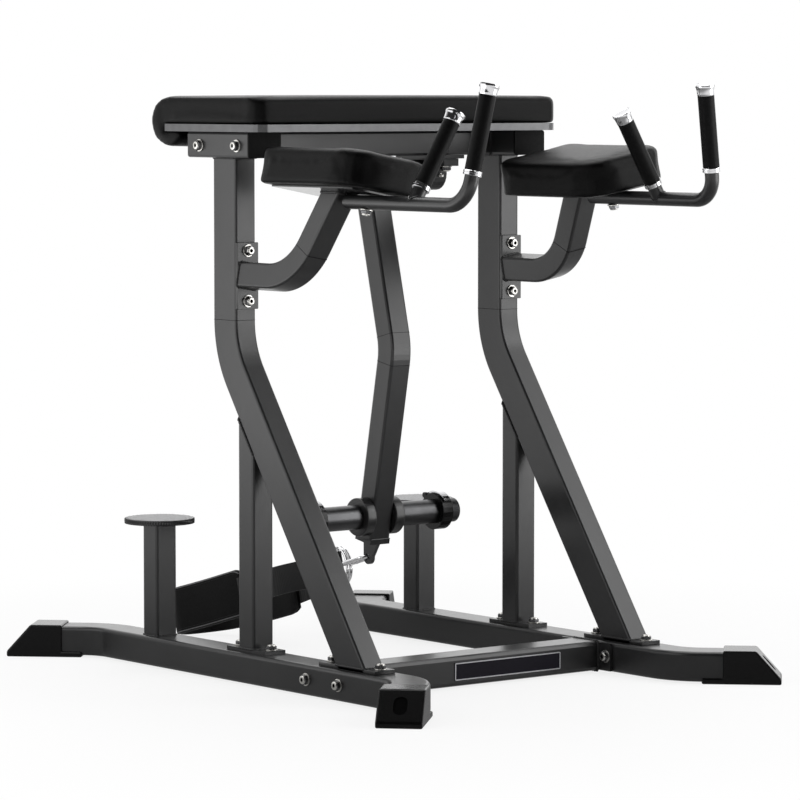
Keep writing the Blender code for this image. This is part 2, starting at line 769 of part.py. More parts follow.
def arc(centre, radii, first, last, steps):
    """Points on an ellipse from one angle to another, in degrees from +Y towards +Z."""
    points = []
    for step in range(steps + 1):
        angle = math.radians(first + (last - first) * step / steps)
        points.append((centre[0] + radii[0] * math.cos(angle), centre[1] + radii[1] * math.sin(angle)))
    return points


def table_section():
    """The main cushion's outline in Y and Z: flat on the board, rolled down round its rear edge."""
    low = BOARD_TOP + TOUCH
    under = BOARD_BOTTOM - TOUCH
    front = arc((TABLE_FRONT + CUSHION_EDGE, CUSHION_TOP - CUSHION_EDGE), (CUSHION_EDGE,) * 2, 180, 90, 3)
    nose_y = NOSE_BOTTOM_Y + NOSE_CREST_SHIFT
    upper = arc((nose_y, NOSE_Z), (NOSE_REACH - nose_y, CUSHION_TOP - NOSE_Z), 90, 0, 7)
    lower = arc((NOSE_BOTTOM_Y, NOSE_Z), (NOSE_REACH - NOSE_BOTTOM_Y, NOSE_Z - NOSE_BOTTOM), -18, -90, 5)
    heel_z = under - HEEL_DROP
    heel_size = (NOSE_BOTTOM_Y - NOSE_RETURN_Y, heel_z - NOSE_BOTTOM)
    heel = arc((NOSE_BOTTOM_Y, heel_z), heel_size, -120, -180, 2)
    middle = [(TABLE_FRONT + (nose_y - TABLE_FRONT) * share, CUSHION_TOP) for share in (0.3, 0.55, 0.8)]
    notch = BOARD_REAR + TOUCH
    seat = [(NOSE_RETURN_Y, under), (notch, under), (notch, low), (TABLE_FRONT + CUSHION_LOWER_ROUND, low)]
    return [(TABLE_FRONT, low + CUSHION_LOWER_ROUND)] + front + middle + upper + lower + heel + seat


def inset_outline(points, distance):
    """Moves each point of a closed outline inward by about this distance, square to its neighbours."""
    moved = []
    count = len(points)
    for index, (y, z) in enumerate(points):
        before = Vector(points[index - 1])
        after = Vector(points[(index + 1) % count])
        here = Vector((y, z))
        first = (here - before).normalized()
        second = (after - here).normalized()
        normal = Vector((first.y + second.y, -first.x - second.x)).normalized()
        spread = max(0.5, normal.dot(Vector((first.y, -first.x))))
        inner = here + normal * distance / spread
        moved.append((inner.x, inner.y))
    return moved


def make_table_cushion():
    """Lofts the cushion's section across the table, with rounded ends and a low crown."""
    section = table_section()
    stations = []
    for angle in (0.0, math.pi / 4, math.pi / 2):
        inset = CUSHION_END_ROUND * (1 - math.sin(angle))
        stations.append((TABLE_HALF_WIDTH - CUSHION_END_ROUND * (1 - math.cos(angle)), inset))
    stations += [(TABLE_HALF_WIDTH - share * CUSHION_CORNER, 0.0) for share in (0.65, 1.0)]
    stations += [(TABLE_HALF_WIDTH * 0.5, 0.0)]
    stations += [(0.0, 0.0)]
    stations += [(-x, inset) for x, inset in reversed(stations[:-1])]
    bm = bmesh.new()
    rings = []
    for x, inset in stations:
        depth = max(0.0, abs(x) - (TABLE_HALF_WIDTH - CUSHION_CORNER))
        setback = CUSHION_CORNER - math.sqrt(max(0.0, CUSHION_CORNER**2 - depth**2))
        crown = CUSHION_CROWN * (abs(x) / TABLE_HALF_WIDTH) ** 2
        ring = []
        for y, z in inset_outline(section, inset):
            near_front = max(0.0, 1 - (y - TABLE_FRONT) / (3 * CUSHION_CORNER))
            above = max(0.0, (z - BOARD_TOP) / (CUSHION_TOP - BOARD_TOP))
            pushed = y + (setback - min(setback, inset)) * near_front
            ring.append(bm.verts.new((x, pushed, z - crown * above)))
        rings.append(ring)
    loft(bm, rings)
    place("table_cushion", finish_bmesh(bm, "table_cushion"), VINYL)


def loft(bm, rings):
    """Joins rings of equal count with quads and closes both ends."""
    for lower, upper in zip(rings, rings[1:]):
        for index in range(len(lower)):
            after = (index + 1) % len(lower)
            bm.faces.new((lower[index], lower[after], upper[after], upper[index]))
    bm.faces.new(rings[0])
    bm.faces.new(rings[-1])


# Pivot


def pivot_point():
    return Vector((0, TOWER_Y, BRACKET_BOTTOM - BEARING_PAD_THICKNESS - TOUCH - BEARING_DROP))


def make_bearing(word, side):
    """A pillow block hanging from its plate: a foot, a round housing and a bore for the shaft."""
    name = "bearing_housing_" + word
    pivot = pivot_point()
    x = side * BEARING_X
    top = pivot.z + BEARING_DROP
    low = (x - BEARING_BASE_WIDTH / 2, TOWER_Y - BEARING_BASE_LENGTH / 2, top - BEARING_BASE_THICKNESS)
    high = (x + BEARING_BASE_WIDTH / 2, TOWER_Y + BEARING_BASE_LENGTH / 2, top)
    housing = box(name, low, high, PLASTIC)
    centre = (x, TOWER_Y, pivot.z)
    join(housing, cylinder(name + "_ring", centre, X_AXIS, BEARING_RADIUS, BEARING_WIDTH, PLASTIC))
    trim_low = (x - BEARING_WIDTH, TOWER_Y - BEARING_BASE_LENGTH, top)
    trim_high = (x + BEARING_WIDTH, TOWER_Y + BEARING_BASE_LENGTH, top + BEARING_RADIUS)
    cut(housing, box(name + "_trim", trim_low, trim_high, PLASTIC))
    bore = SHAFT_RADIUS + RUNNING
    cut(housing, cylinder(name + "_bore", centre, X_AXIS, bore, 2 * BEARING_WIDTH, PLASTIC))


def make_shaft():
    cylinder("pivot_shaft", pivot_point(), X_AXIS, SHAFT_RADIUS, 2 * SHAFT_HALF_LENGTH, STEEL)


# Pendulum


def arm_lean():
    return math.atan2(ARM_BEND_FORWARD, ARM_BEND_DROP)


def arm_corner():
    return pivot_point() + Vector((0, -ARM_BEND_FORWARD, -ARM_BEND_DROP))


def lower_arm_point(z):
    """The point of the lower arm's centreline at this height."""
    corner = arm_corner()
    return Vector((0, corner.y + (corner.z - z) * math.tan(ARM_RETURN), z))


def make_pendulum():
    """The arm with its cross sleeve, end plate and strap tab, welded into one piece."""
    name = "pendulum_arm"
    pivot = pivot_point()
    heading = Vector((0, -math.sin(arm_lean()), -math.cos(arm_lean())))
    turn = arm_lean() + ARM_RETURN
    leg = bend_leg(ARM_BEND_RADIUS, turn)
    upper = math.hypot(ARM_BEND_FORWARD, ARM_BEND_DROP)
    sink = SLEEVE_RADIUS * SLEEVE_SINK
    lower = (arm_corner().z - ARM_END_Z) / math.cos(ARM_RETURN)
    section = rounded_section(ARM_SIZE, ARM_SIZE, ARM_CORNER)
    moves = [run(upper - leg - sink), bend(ARM_BEND_RADIUS, turn), run(lower - leg)]
    start = pivot + heading * sink
    arm = bent_tube(name, start, heading, X_AXIS, section, moves, POWDER_COAT, FRAME_WALL)
    join(arm, cylinder(name + "_sleeve", pivot, X_AXIS, SLEEVE_RADIUS, 2 * SLEEVE_HALF_LENGTH, POWDER_COAT))
    bore = SHAFT_RADIUS + TOUCH
    cut(arm, cylinder(name + "_bore", pivot, X_AXIS, bore, 3 * SLEEVE_HALF_LENGTH, POWDER_COAT))
    end = lower_arm_point(ARM_END_Z)
    half = ARM_SIZE / 2
    plate = box(
        name + "_end_plate",
        (-half, -half, -END_PLATE_THICKNESS),
        (half, half, END_PLATE_THICKNESS / 2),
        POWDER_COAT,
    )
    plate.data.transform(Matrix.Translation(end) @ Matrix.Rotation(ARM_RETURN, 4, "X"))
    join(arm, plate)
    beside_tab = end + X_AXIS * (ARM_SIZE + 2 * TAB_THICKNESS) / 4
    join(arm, make_tab(name + "_tab", end))
    cut(arm, vent(name + "_vent", beside_tab, Z_AXIS))
    hole = (0, TAB_HOLE_Y, TAB_HOLE_Z)
    cut(arm, cylinder(name + "_hole", hole, X_AXIS, TAB_HOLE_RADIUS, 4 * TAB_THICKNESS, POWDER_COAT))


def make_tab(name, end):
    """The tapered tab under the end plate, from its top corners round its tip."""
    top = end.z - END_PLATE_THICKNESS / 2
    outline = [(end.y + TAB_TOP_WIDTH / 2, top), (end.y - TAB_TOP_WIDTH / 2, top)]
    tip_y = TAB_HOLE_Y - TAB_TIP_FORWARD
    tip_z = TAB_HOLE_Z - TAB_TIP_DROP
    steps = 8
    for step in range(steps + 1):
        angle = math.radians(TAB_TIP_START + TAB_TIP_SWEEP * step / steps)
        outline.append((tip_y + TAB_TIP_RADIUS * math.cos(angle), tip_z + TAB_TIP_RADIUS * math.sin(angle)))
    upright = Matrix(((0, 0, 1, 0), (1, 0, 0, 0), (0, 1, 0, 0), (0, 0, 0, 1)))
    return flat_plate(name, outline, TAB_THICKNESS, upright, POWDER_COAT)


def make_horn(word, side):
    """One half of the weight horn, its stop collar, its lock collar and the lock's lever."""
    axis = X_AXIS * side
    root = ARM_SIZE / 2 + TOUCH
    at = lower_arm_point(HORN_Z)
    length = HORN_END - root
    middle = at + axis * (root + length / 2)
    cylinder("weight_horn_" + word, middle, axis, HORN_RADIUS, length, STEEL)
    bore = HORN_RADIUS + TOUCH
    stop = ring_profile(bore, STOP_RADIUS, root, root + STOP_WIDTH)
    turned("stop_collar_" + word, stop, along(axis, at), POWDER_COAT)
    low = LOCK_X - LOCK_WIDTH / 2
    high = LOCK_X + LOCK_WIDTH / 2
    lock_bore = HORN_RADIUS + RUNNING
    profile = ring_profile(lock_bore, LOCK_RADIUS, low, high)
    lock = turned("lock_collar_" + word, profile, along(axis, at), PLASTIC)
    pin = lever_pin(word, side)
    lug = cylinder("lock_lug_" + word, pin, X_AXIS, LOCK_LUG / 2, LOCK_WIDTH, PLASTIC, sides=16)
    join(lock, lug)
    slot_radius = LOCK_LUG / 2 + LOCK_SLOT_GAP
    slot_width = LEVER_WIDTH + 2 * TOUCH
    cut(lock, cylinder("lock_slot_" + word, pin, X_AXIS, slot_radius, slot_width, PLASTIC, sides=16))
    cut(lock, cylinder("lock_bore_" + word, at + axis * LOCK_X, X_AXIS, lock_bore, 2 * LOCK_WIDTH, PLASTIC))


def lever_pin(word, side):
    """The lock lever's pin, over the rear of its collar."""
    at = lower_arm_point(HORN_Z)
    reach = LOCK_RADIUS + LOCK_LUG / 2 - LOCK_LUG_SINK
    over = Vector((0, math.sin(LEVER_PIN_ANGLE), math.cos(LEVER_PIN_ANGLE)))
    return at + X_AXIS * side * LOCK_X + over * reach


def make_lever(word, side):
    """A curved lever that folds round the collar's outside, with an eye on the pin."""
    name = "lock_lever_" + word
    at = lower_arm_point(HORN_Z) + Vector((side * LOCK_X, 0, 0))
    pin = lever_pin(word, side)
    inner = LOCK_RADIUS + LEVER_GAP
    outer = inner + LEVER_THICKNESS
    first = math.pi / 2 - LEVER_PIN_ANGLE
    outline = []
    steps = 12
    for step in range(steps + 1):
        angle = first + LEVER_ARC * step / steps
        outline.append((outer * math.cos(angle), outer * math.sin(angle)))
    for step in range(steps, -1, -1):
        angle = first + LEVER_ARC * step / steps
        outline.append((inner * math.cos(angle), inner * math.sin(angle)))
    upright = Matrix(((0, 0, 1, at.x), (1, 0, 0, at.y), (0, 1, 0, at.z), (0, 0, 0, 1)))
    lever = flat_plate(name, outline, LEVER_WIDTH, upright, CHROME)
    join(lever, cylinder(name + "_eye", pin, X_AXIS, LOCK_LUG / 2, LEVER_WIDTH, CHROME, sides=16))


# Elbow rests


def elbow_frame(word, side):
    """An empty in the middle of the flange, leaning inward, that carries the whole rest."""
    frame = bpy.data.objects.new("elbow_frame_" + word, None)
    PARTS.objects.link(frame)
    frame.location = (side * RAIL_X, TOWER_Y - POST_DEPTH / 2, ELBOW_Z)
    frame.rotation_euler = (0, -side * ELBOW_LEAN, 0)
    return frame


def make_elbow_arm(word, side, frame):
    name = "elbow_arm_" + word
    section = rounded_section(ELBOW_ARM_SIZE, ELBOW_ARM_SIZE, ELBOW_ARM_CORNER)
    leg = bend_leg(ELBOW_BEND_RADIUS, ELBOW_BEND)
    start = Vector((0, -TOUCH - FLANGE_THICKNESS / 2, 0))
    rise = (ELBOW_BOARD_BOTTOM - TOUCH) / math.sin(ELBOW_BEND)
    past = ELBOW_ARM_SIZE
    moves = [
        run(start.y - ELBOW_BEND_Y - leg),
        bend(ELBOW_BEND_RADIUS, -ELBOW_BEND),
        run(rise - leg + past),
    ]
    arm = bent_tube(name, start, -Y_AXIS, X_AXIS, section, moves, POWDER_COAT, FRAME_WALL, frame)
    top = ELBOW_BOARD_BOTTOM - TOUCH
    high = 2 * ELBOW_ARM_SIZE
    trim = box(name + "_trim", (-high, 2 * ELBOW_FRONT, top), (high, 0, top + high), POWDER_COAT, frame)
    cut(arm, trim)
    flange = box(
        name + "_flange",
        (-POST_WIDTH / 2, -TOUCH - FLANGE_THICKNESS, -FLANGE_HEIGHT / 2),
        (POST_WIDTH / 2, -TOUCH, FLANGE_HEIGHT / 2),
        POWDER_COAT,
        frame,
    )
    flange.data.transform(Matrix.Rotation(side * ELBOW_LEAN, 4, "Y"))
    join(arm, flange)


def rest_outline(inset, front_corner, rear_corner):
    """The rest's outline in X and Y, with large front corners and small rear ones."""
    ends = (ELBOW_FRONT + inset, ELBOW_REAR - inset)
    corners = [max(ELBOW_LEAST_CORNER, corner - inset) for corner in (front_corner, rear_corner)]
    return pad_outline(ELBOW_HALF_WIDTH - inset, ends, *corners)


def make_elbow_pad(word, frame):
    low = ELBOW_BOARD_BOTTOM
    board_outline = rest_outline(ELBOW_BOARD_INSET, ELBOW_FRONT_CORNER, ELBOW_REAR_CORNER)
    seat = Matrix.Translation((0, 0, low + ELBOW_BOARD_THICKNESS / 2))
    flat_plate("elbow_board_" + word, board_outline, ELBOW_BOARD_THICKNESS, seat, PLASTIC, frame)
    base = low + ELBOW_BOARD_THICKNESS + TOUCH
    shoulder = ELBOW_TOP - ELBOW_CROWN
    levels = (
        (ELBOW_LOWER_INSET, base),
        (0.0, base + ELBOW_LOWER_ROUND),
        (ELBOW_PULL, (base + shoulder) / 2),
        (0.0, shoulder - ELBOW_EDGE),
        (ELBOW_EDGE * 0.3, shoulder - ELBOW_EDGE * 0.3),
        (ELBOW_EDGE, shoulder),
        (ELBOW_HALF_WIDTH * 0.45, ELBOW_TOP - ELBOW_CROWN * 0.25),
        (ELBOW_HALF_WIDTH * 0.8, ELBOW_TOP),
    )
    bm = bmesh.new()
    rings = []
    for inset, z in levels:
        outline = rest_outline(inset, ELBOW_FRONT_CORNER, ELBOW_REAR_CORNER)
        rings.append([bm.verts.new((x, y, z)) for x, y in outline])
    loft(bm, rings)
    place("elbow_cushion_" + word, finish_bmesh(bm, "elbow_cushion_" + word), VINYL, frame)


def bar_axis_z():
    return ELBOW_BOARD_BOTTOM - TOUCH - BAR_RADIUS


def upright_top_y():
    return BAR_BEND_Y - (UPRIGHT_TOP - bar_axis_z()) * math.tan(BAR_TILT)


def inner_direction(side):
    return Vector((-side * math.sin(INNER_HANDLE_LEAN), 0, math.cos(INNER_HANDLE_LEAN)))


def make_handle(word, side, frame):
    """The bar under the rest that turns up into the front handle, with the inner handle welded on."""
    name = "handle_bar_" + word
    z = bar_axis_z()
    arm_y = ELBOW_BEND_Y - z / math.tan(ELBOW_BEND) - ELBOW_ARM_SIZE / 2 / math.sin(ELBOW_BEND)
    corner = Vector((0, BAR_BEND_Y, z))
    top = Vector((0, upright_top_y(), UPRIGHT_TOP))
    beyond = (top - corner).normalized() * BAR_WALL
    outer = filleted([(0, arm_y + BAR_RADIUS, z), corner, top], BAR_BEND_RADIUS)
    inner = filleted([(0, arm_y + 2 * BAR_RADIUS, z), corner, top + beyond], BAR_BEND_RADIUS)
    bore = BAR_RADIUS - BAR_WALL
    handle = bar(name, outer, BAR_RADIUS, POWDER_COAT, frame)
    foot = Vector((0, INNER_HANDLE_Y, z))
    lean = inner_direction(side)
    branch = [foot, foot + lean * INNER_HANDLE_LENGTH]
    join(handle, bar(name + "_branch", branch, BAR_RADIUS, POWDER_COAT, frame))
    cut(handle, bar(name + "_bore", inner, bore, POWDER_COAT, frame))
    branch_bore = [foot, foot + lean * (INNER_HANDLE_LENGTH + BAR_WALL)]
    cut(handle, bar(name + "_branch_bore", branch_bore, bore, POWDER_COAT, frame))
    block = box(
        name + "_weld_cut",
        (-2 * BAR_RADIUS, -ELBOW_ARM_SIZE / 2 - TOUCH, -3 * BAR_RADIUS),
        (2 * BAR_RADIUS, ELBOW_ARM_SIZE, 3 * BAR_RADIUS),
        POWDER_COAT,
        frame,
    )
    arm_middle = (0, ELBOW_BEND_Y - z / math.tan(ELBOW_BEND), z)
    lean_back = Matrix.Rotation(math.pi / 2 - ELBOW_BEND, 4, "X")
    block.data.transform(Matrix.Translation(arm_middle) @ lean_back)
    cut(handle, block)
    make_grip("front_grip_" + word, top, (top - corner).normalized(), GRIP_LENGTH, frame)
    make_grip("inner_grip_" + word, foot + lean * INNER_HANDLE_LENGTH, lean, INNER_GRIP_LENGTH, frame)


def make_grip(name, end, axis, length, frame):
    """A rubber sleeve, the collar below it and the flared cap above it, at the end of a handle."""
    bore = BAR_RADIUS + TOUCH
    at = along(axis, end)
    grip = ring_profile(bore, GRIP_RADIUS, -length, 0)
    turned(name, grip, at, RUBBER, frame, BAR_SIDES)
    high = -length - TOUCH
    collar = ring_profile(bore, GRIP_COLLAR_RADIUS, high - GRIP_COLLAR_LENGTH, high)
    turned(name.replace("grip", "collar"), collar, at, CHROME, frame, BAR_SIDES)
    rim_start = GRIP_CAP_LENGTH - GRIP_CAP_RIM_LENGTH
    flare = [
        (0, TOUCH),
        (GRIP_CAP_NECK_RADIUS, TOUCH),
        (GRIP_CAP_WAIST_RADIUS, rim_start / 2),
        ((GRIP_CAP_WAIST_RADIUS + GRIP_CAP_RIM_RADIUS) / 2, rim_start * 0.85),
        (GRIP_CAP_RIM_RADIUS, rim_start),
        (GRIP_CAP_RIM_RADIUS, GRIP_CAP_LENGTH - GRIP_CAP_EDGE),
        (GRIP_CAP_RIM_RADIUS - GRIP_CAP_EDGE, GRIP_CAP_LENGTH),
        (0, GRIP_CAP_LENGTH),
    ]
    turned(name.replace("grip", "cap"), flare, at, CHROME, frame, BAR_SIDES)


def make_elbow_rest(word, side):
    frame = elbow_frame(word, side)
    make_elbow_arm(word, side, frame)
    make_elbow_pad(word, frame)
    make_handle(word, side, frame)


# Strap


def strap_slope():
    """The slope at which the loop's lower rear edge comes down to the floor."""
    half = STRAP_PAD_HEIGHT / 2
    drop = TAB_HOLE_Z - STRAP_FLOOR_GAP
    return math.asin(drop / math.hypot(STRAP_REACH, half)) - math.atan2(half, STRAP_REACH)


def strap_frame():
    """An empty at the tab's hole, whose local Y runs down the strap to the rear."""
    frame = bpy.data.objects.new("strap_frame", None)
    PARTS.objects.link(frame)
    frame.location = (0, TAB_HOLE_Y, TAB_HOLE_Z)
    frame.rotation_euler = (-strap_slope(), 0, 0)
    return frame


def capsule(length, width, steps=6):
    """Points round a slot shape that starts at the origin side and runs along the second axis."""
    radius = width / 2
    points = []
    for centre, first in ((radius, math.pi), (length - radius, 0.0)):
        for step in range(steps + 1):
            angle = first + math.pi * step / steps
            points.append((radius * math.cos(angle), centre + radius * math.sin(angle)))
    return points


def make_carabiner(frame):
    path = capsule(LINK_LENGTH - 2 * LINK_RADIUS, LINK_WIDTH - 2 * LINK_RADIUS)
    points = [(x, y + LINK_SLACK, 0) for x, y in path]
    bar("carabiner", points, LINK_RADIUS, CHROME, frame, closed=True, resolution=2)


def ring_start():
    """How far down the strap the rings' round sides lie, inside the carabiner's far end."""
    inner = LINK_WIDTH / 2 - 2 * LINK_RADIUS
    narrowing = inner - math.sqrt(inner**2 - (RING_X + RING_RADIUS) ** 2)
    far_end = LINK_SLACK + LINK_LENGTH - 2 * LINK_RADIUS
    return far_end - LINK_RADIUS - narrowing - RING_RADIUS - RING_SLACK


def make_ring(word, side, frame):
    """A D ring that stands on edge, its flat side in the strap's end."""
    height = RING_HEIGHT / 2 - RING_RADIUS
    depth = RING_DEPTH - 2 * RING_RADIUS
    flat = ring_start() + depth
    points = []
    steps = 12
    for step in range(steps + 1):
        angle = math.pi * (0.5 + step / steps)
        bow = (depth - RING_CORNER) * math.cos(angle)
        points.append((side * RING_X, flat - RING_CORNER + bow, height * math.sin(angle)))
    points.append((side * RING_X, flat, RING_CORNER - height))
    points.append((side * RING_X, flat, height - RING_CORNER))
    bar("strap_ring_" + word, points, RING_RADIUS, CHROME, frame, closed=True, resolution=2)


def strap_path():
    """The strap's middle line, from the left ring round the loop's rear end to the right ring.

    The strap doesn't lie quite straight: its rear end has drifted to one side, and it hangs through a
    little between the rings and the loop's rear end, more on the right."""
    start = ring_start() + RING_DEPTH - 2 * RING_RADIUS + STRAP_EYE_REACH
    rear = STRAP_REACH - STRAP_PAD_THICKNESS / 2
    half = STRAP_HALF_WIDTH - STRAP_PAD_THICKNESS / 2
    side_end = rear - half
    points = []
    for step in range(9):
        share = step / 8
        ease = share * share * (3 - 2 * share)
        y = start + (STRAP_SPREAD_END - start) * share
        points.append((-(RING_X + (half - RING_X) * ease), y))
    pad_ends = (STRAP_PAD_START - STRAP_WIDENING / 2, STRAP_PAD_START + STRAP_WIDENING / 2)
    points += [(-half, y) for y in (*pad_ends, (pad_ends[1] + side_end) / 2, side_end)]
    for step in range(1, 8):
        angle = math.pi * step / 16
        points.append((-half * math.cos(angle), side_end + half * math.sin(angle)))
    mirrored = [(-x, y) for x, y in reversed(points)]
    path = []
    for x, y in points + [(0.0, rear)] + mirrored:
        share = (y - start) / (rear - start)
        deepest = STRAP_SAG_RIGHT if x > 0 else STRAP_SAG_LEFT
        sag = deepest * 4 * share * (1 - share)
        path.append((x + STRAP_DRIFT * share, y, -sag))
    return path


def make_strap(frame):
    """Webbing that widens into a padded band, with an eye round each ring's flat side."""
    path = [Vector(point) for point in strap_path()]
    bm = bmesh.new()
    rings = []
    for index, here in enumerate(path):
        ahead = path[min(index + 1, len(path) - 1)] - path[max(index - 1, 0)]
        out = Vector((ahead.y, -ahead.x, 0)).normalized()
        share = min(1.0, max(0.0, (here.y - STRAP_PAD_START) / STRAP_WIDENING + 0.5))
        thickness = WEBBING_THICKNESS + (STRAP_PAD_THICKNESS - WEBBING_THICKNESS) * share
        height = WEBBING_HEIGHT + (STRAP_PAD_HEIGHT - WEBBING_HEIGHT) * share
        corner = thickness * STRAP_PAD_ROUND
        section = rounded_section(thickness, height, corner, 2)
        rings.append([bm.verts.new(here + out * x + Z_AXIS * z) for x, z in section])
    loft(bm, rings)
    strap = place("ankle_strap", finish_bmesh(bm, "ankle_strap"), WEBBING, frame)
    flat = ring_start() + RING_DEPTH - 2 * RING_RADIUS
    for word, side in SIDES:
        middle = (side * RING_X, flat, 0)
        eye = cylinder(
            "strap_eye_" + word, middle, Z_AXIS, STRAP_EYE_RADIUS, WEBBING_HEIGHT, WEBBING, frame, BAR_SIDES
        )
        join(strap, eye)
    for word, side in SIDES:
        middle = (side * RING_X, flat, 0)
        bore = RING_RADIUS + TOUCH
        bore = cylinder("strap_bore_" + word, middle, Z_AXIS, bore, RING_HEIGHT, WEBBING, frame, BAR_SIDES)
        cut(strap, bore)


def build():
    for word, side in SIDES:
        make_rail(word, side)
        make_foot_cap("foot_cap_front_" + word, side, -1)
        make_foot_cap("foot_cap_rear_" + word, side, 1)
        make_bent_post(word, side)
        make_rear_post(word, side)
        make_step(word, side)
        make_bracket(word, side)
        make_bearing(word, side)
        make_elbow_rest(word, side)
        make_horn(word, side)
        make_lever(word, side)
    make_crossbar()
    make_name_plate()
    make_beam()
    make_table_board()
    make_table_cushion()
    make_shaft()
    make_pendulum()
    strap = strap_frame()
    make_carabiner(strap)
    for word, side in SIDES:
        make_ring(word, side, strap)
    make_strap(strap)


build()
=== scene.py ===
"""Looks of the reverse hyperextension machine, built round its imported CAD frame.

Metres, +Z up. X runs across the machine, the user stands at -Y, and +Y is the rear.
"""

import json
import math
import random

import bmesh
import bpy
from mathutils import Matrix, Vector


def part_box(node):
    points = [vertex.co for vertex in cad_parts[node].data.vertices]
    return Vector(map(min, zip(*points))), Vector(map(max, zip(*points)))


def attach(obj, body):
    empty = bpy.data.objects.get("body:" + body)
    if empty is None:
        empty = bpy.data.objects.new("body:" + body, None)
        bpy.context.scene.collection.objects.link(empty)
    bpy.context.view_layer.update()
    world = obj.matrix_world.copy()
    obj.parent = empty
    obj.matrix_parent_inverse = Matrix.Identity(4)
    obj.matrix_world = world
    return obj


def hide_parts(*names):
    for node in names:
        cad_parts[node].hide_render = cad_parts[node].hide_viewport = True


X_AXIS = Vector((1, 0, 0))
Y_AXIS = Vector((0, 1, 0))
Z_AXIS = Vector((0, 0, 1))
SIDES = (("left", -1), ("right", 1))
ENDS = (-1, 1)
FIT = 0.0002
FINE_BEVEL = 0.0002

# Camera, matched to the photograph
CAMERA_AT = (-5.1772, -6.5642, 1.1734)
CAMERA_PITCH = math.radians(4.28)
CAMERA_TURN = math.radians(38.36)
CAMERA_LENS = 185.75
CAMERA_SHIFT = 0.008125

# Base
RAIL_X = 0.340
RAIL_WIDTH = 0.078
RAIL_TOP = 0.0633
RAIL_MIDDLE_Z = 0.0333
RAIL_INNER_X = 0.2947
PLATE_TOP = 0.0711
RAIL_BEND_Y = 0.511
CROSSBAR_Y = -0.2794
CROSSBAR = (0.078, 0.060)

# Foot caps
CAP_SPLAY = math.radians(46)
CAP_REACH = 0.204
CAP_LENGTH = 0.158
CAP_FLAT_END = 0.108
CAP_LIP = 0.0115
CAP_TOP = 0.067
CAP_OVAL_LENGTH = 0.040
CAP_OVAL_WIDTH = 0.026
CAP_OVAL_DEPTH = 0.003
# The black disc of painted shade in each cap's recess: how far it sinks and how thick it is
CAP_SHADE_SINK = 0.0004
CAP_SHADE_HEIGHT = 0.0018

# Posts and the parts on them
TOWER_Y = 0.0565
POST_FRONT_Y = 0.019
REAR_POST_Y = -0.0125
STEP_POST_Y = 0.3184
STEP_TOP_Z = 0.305
STEP_THICKNESS = 0.012
STEP_RADIUS = 0.072
BRACKET_WIDTH = 0.079
BRACKET_NUT_Z = 1.066
BRACKET_FOOT_Z = 1.042
CROSS_TUBE_X = 0.3005
CROSS_TUBE_Z = 1.067

# Pivot, pendulum and horn
PIVOT = Vector((0.0, 0.0565, 1.0052))
ARM_HEADING = Vector((0, -0.085, -0.352)).normalized()
BEARING_X = 0.158
HORN = Vector((0.0, 0.0373, 0.3085))
ARM_END = Vector((0.0, 0.0462, 0.2603))
ARM_PLATE = 0.053
ARM_PLATE_CORNER = 0.004
ARM_PLATE_THICKNESS = 0.0024
HORN_RADIUS = 0.025
HORN_END = 0.205
HORN_ROOT = 0.0253
STOP_RADIUS = 0.039
STOP_WIDTH = 0.023

# Tubes
TUBE_WIDTH = 0.050
POST_DEPTH = 0.075
POST_SLANT = math.radians(34.5)
POST_BEND_Z = 0.6594
ELBOW_BEND_Y = -0.1745
ELBOW_BEND = math.radians(62)
ELBOW_RISE = Vector((0, -math.cos(ELBOW_BEND), math.sin(ELBOW_BEND)))
ELBOW_ARM_TOP = 0.1682

# Elbow rests
ELBOW_LEAN = math.radians(10.4)
ELBOW_Z = 0.809
FLANGE_FACE = 0.0083
BAR_Z = 0.1544
REST_BOARD_TOP = 0.1727

# Strap
STRAP_START = Vector((0.0, 0.060, 0.2224))


# Materials

WHITE = (1, 1, 1, 1)


def new_node(tree, kind, inputs=None, **settings):
    """A shader node with its settings. Each input gets a value, or the output that is linked to it."""
    node = tree.nodes.new("ShaderNode" + kind)
    for setting, value in settings.items():
        setattr(node, setting, value)
    for socket, value in (inputs or {}).items():
        if isinstance(value, bpy.types.NodeSocket):
            tree.links.new(value, node.inputs[socket])
        else:
            node.inputs[socket].default_value = value
    return node


def shade(value):
    """A colour as it is, or a level as a slightly cool grey."""
    return value if isinstance(value, tuple) else (value, value, value * 1.03)


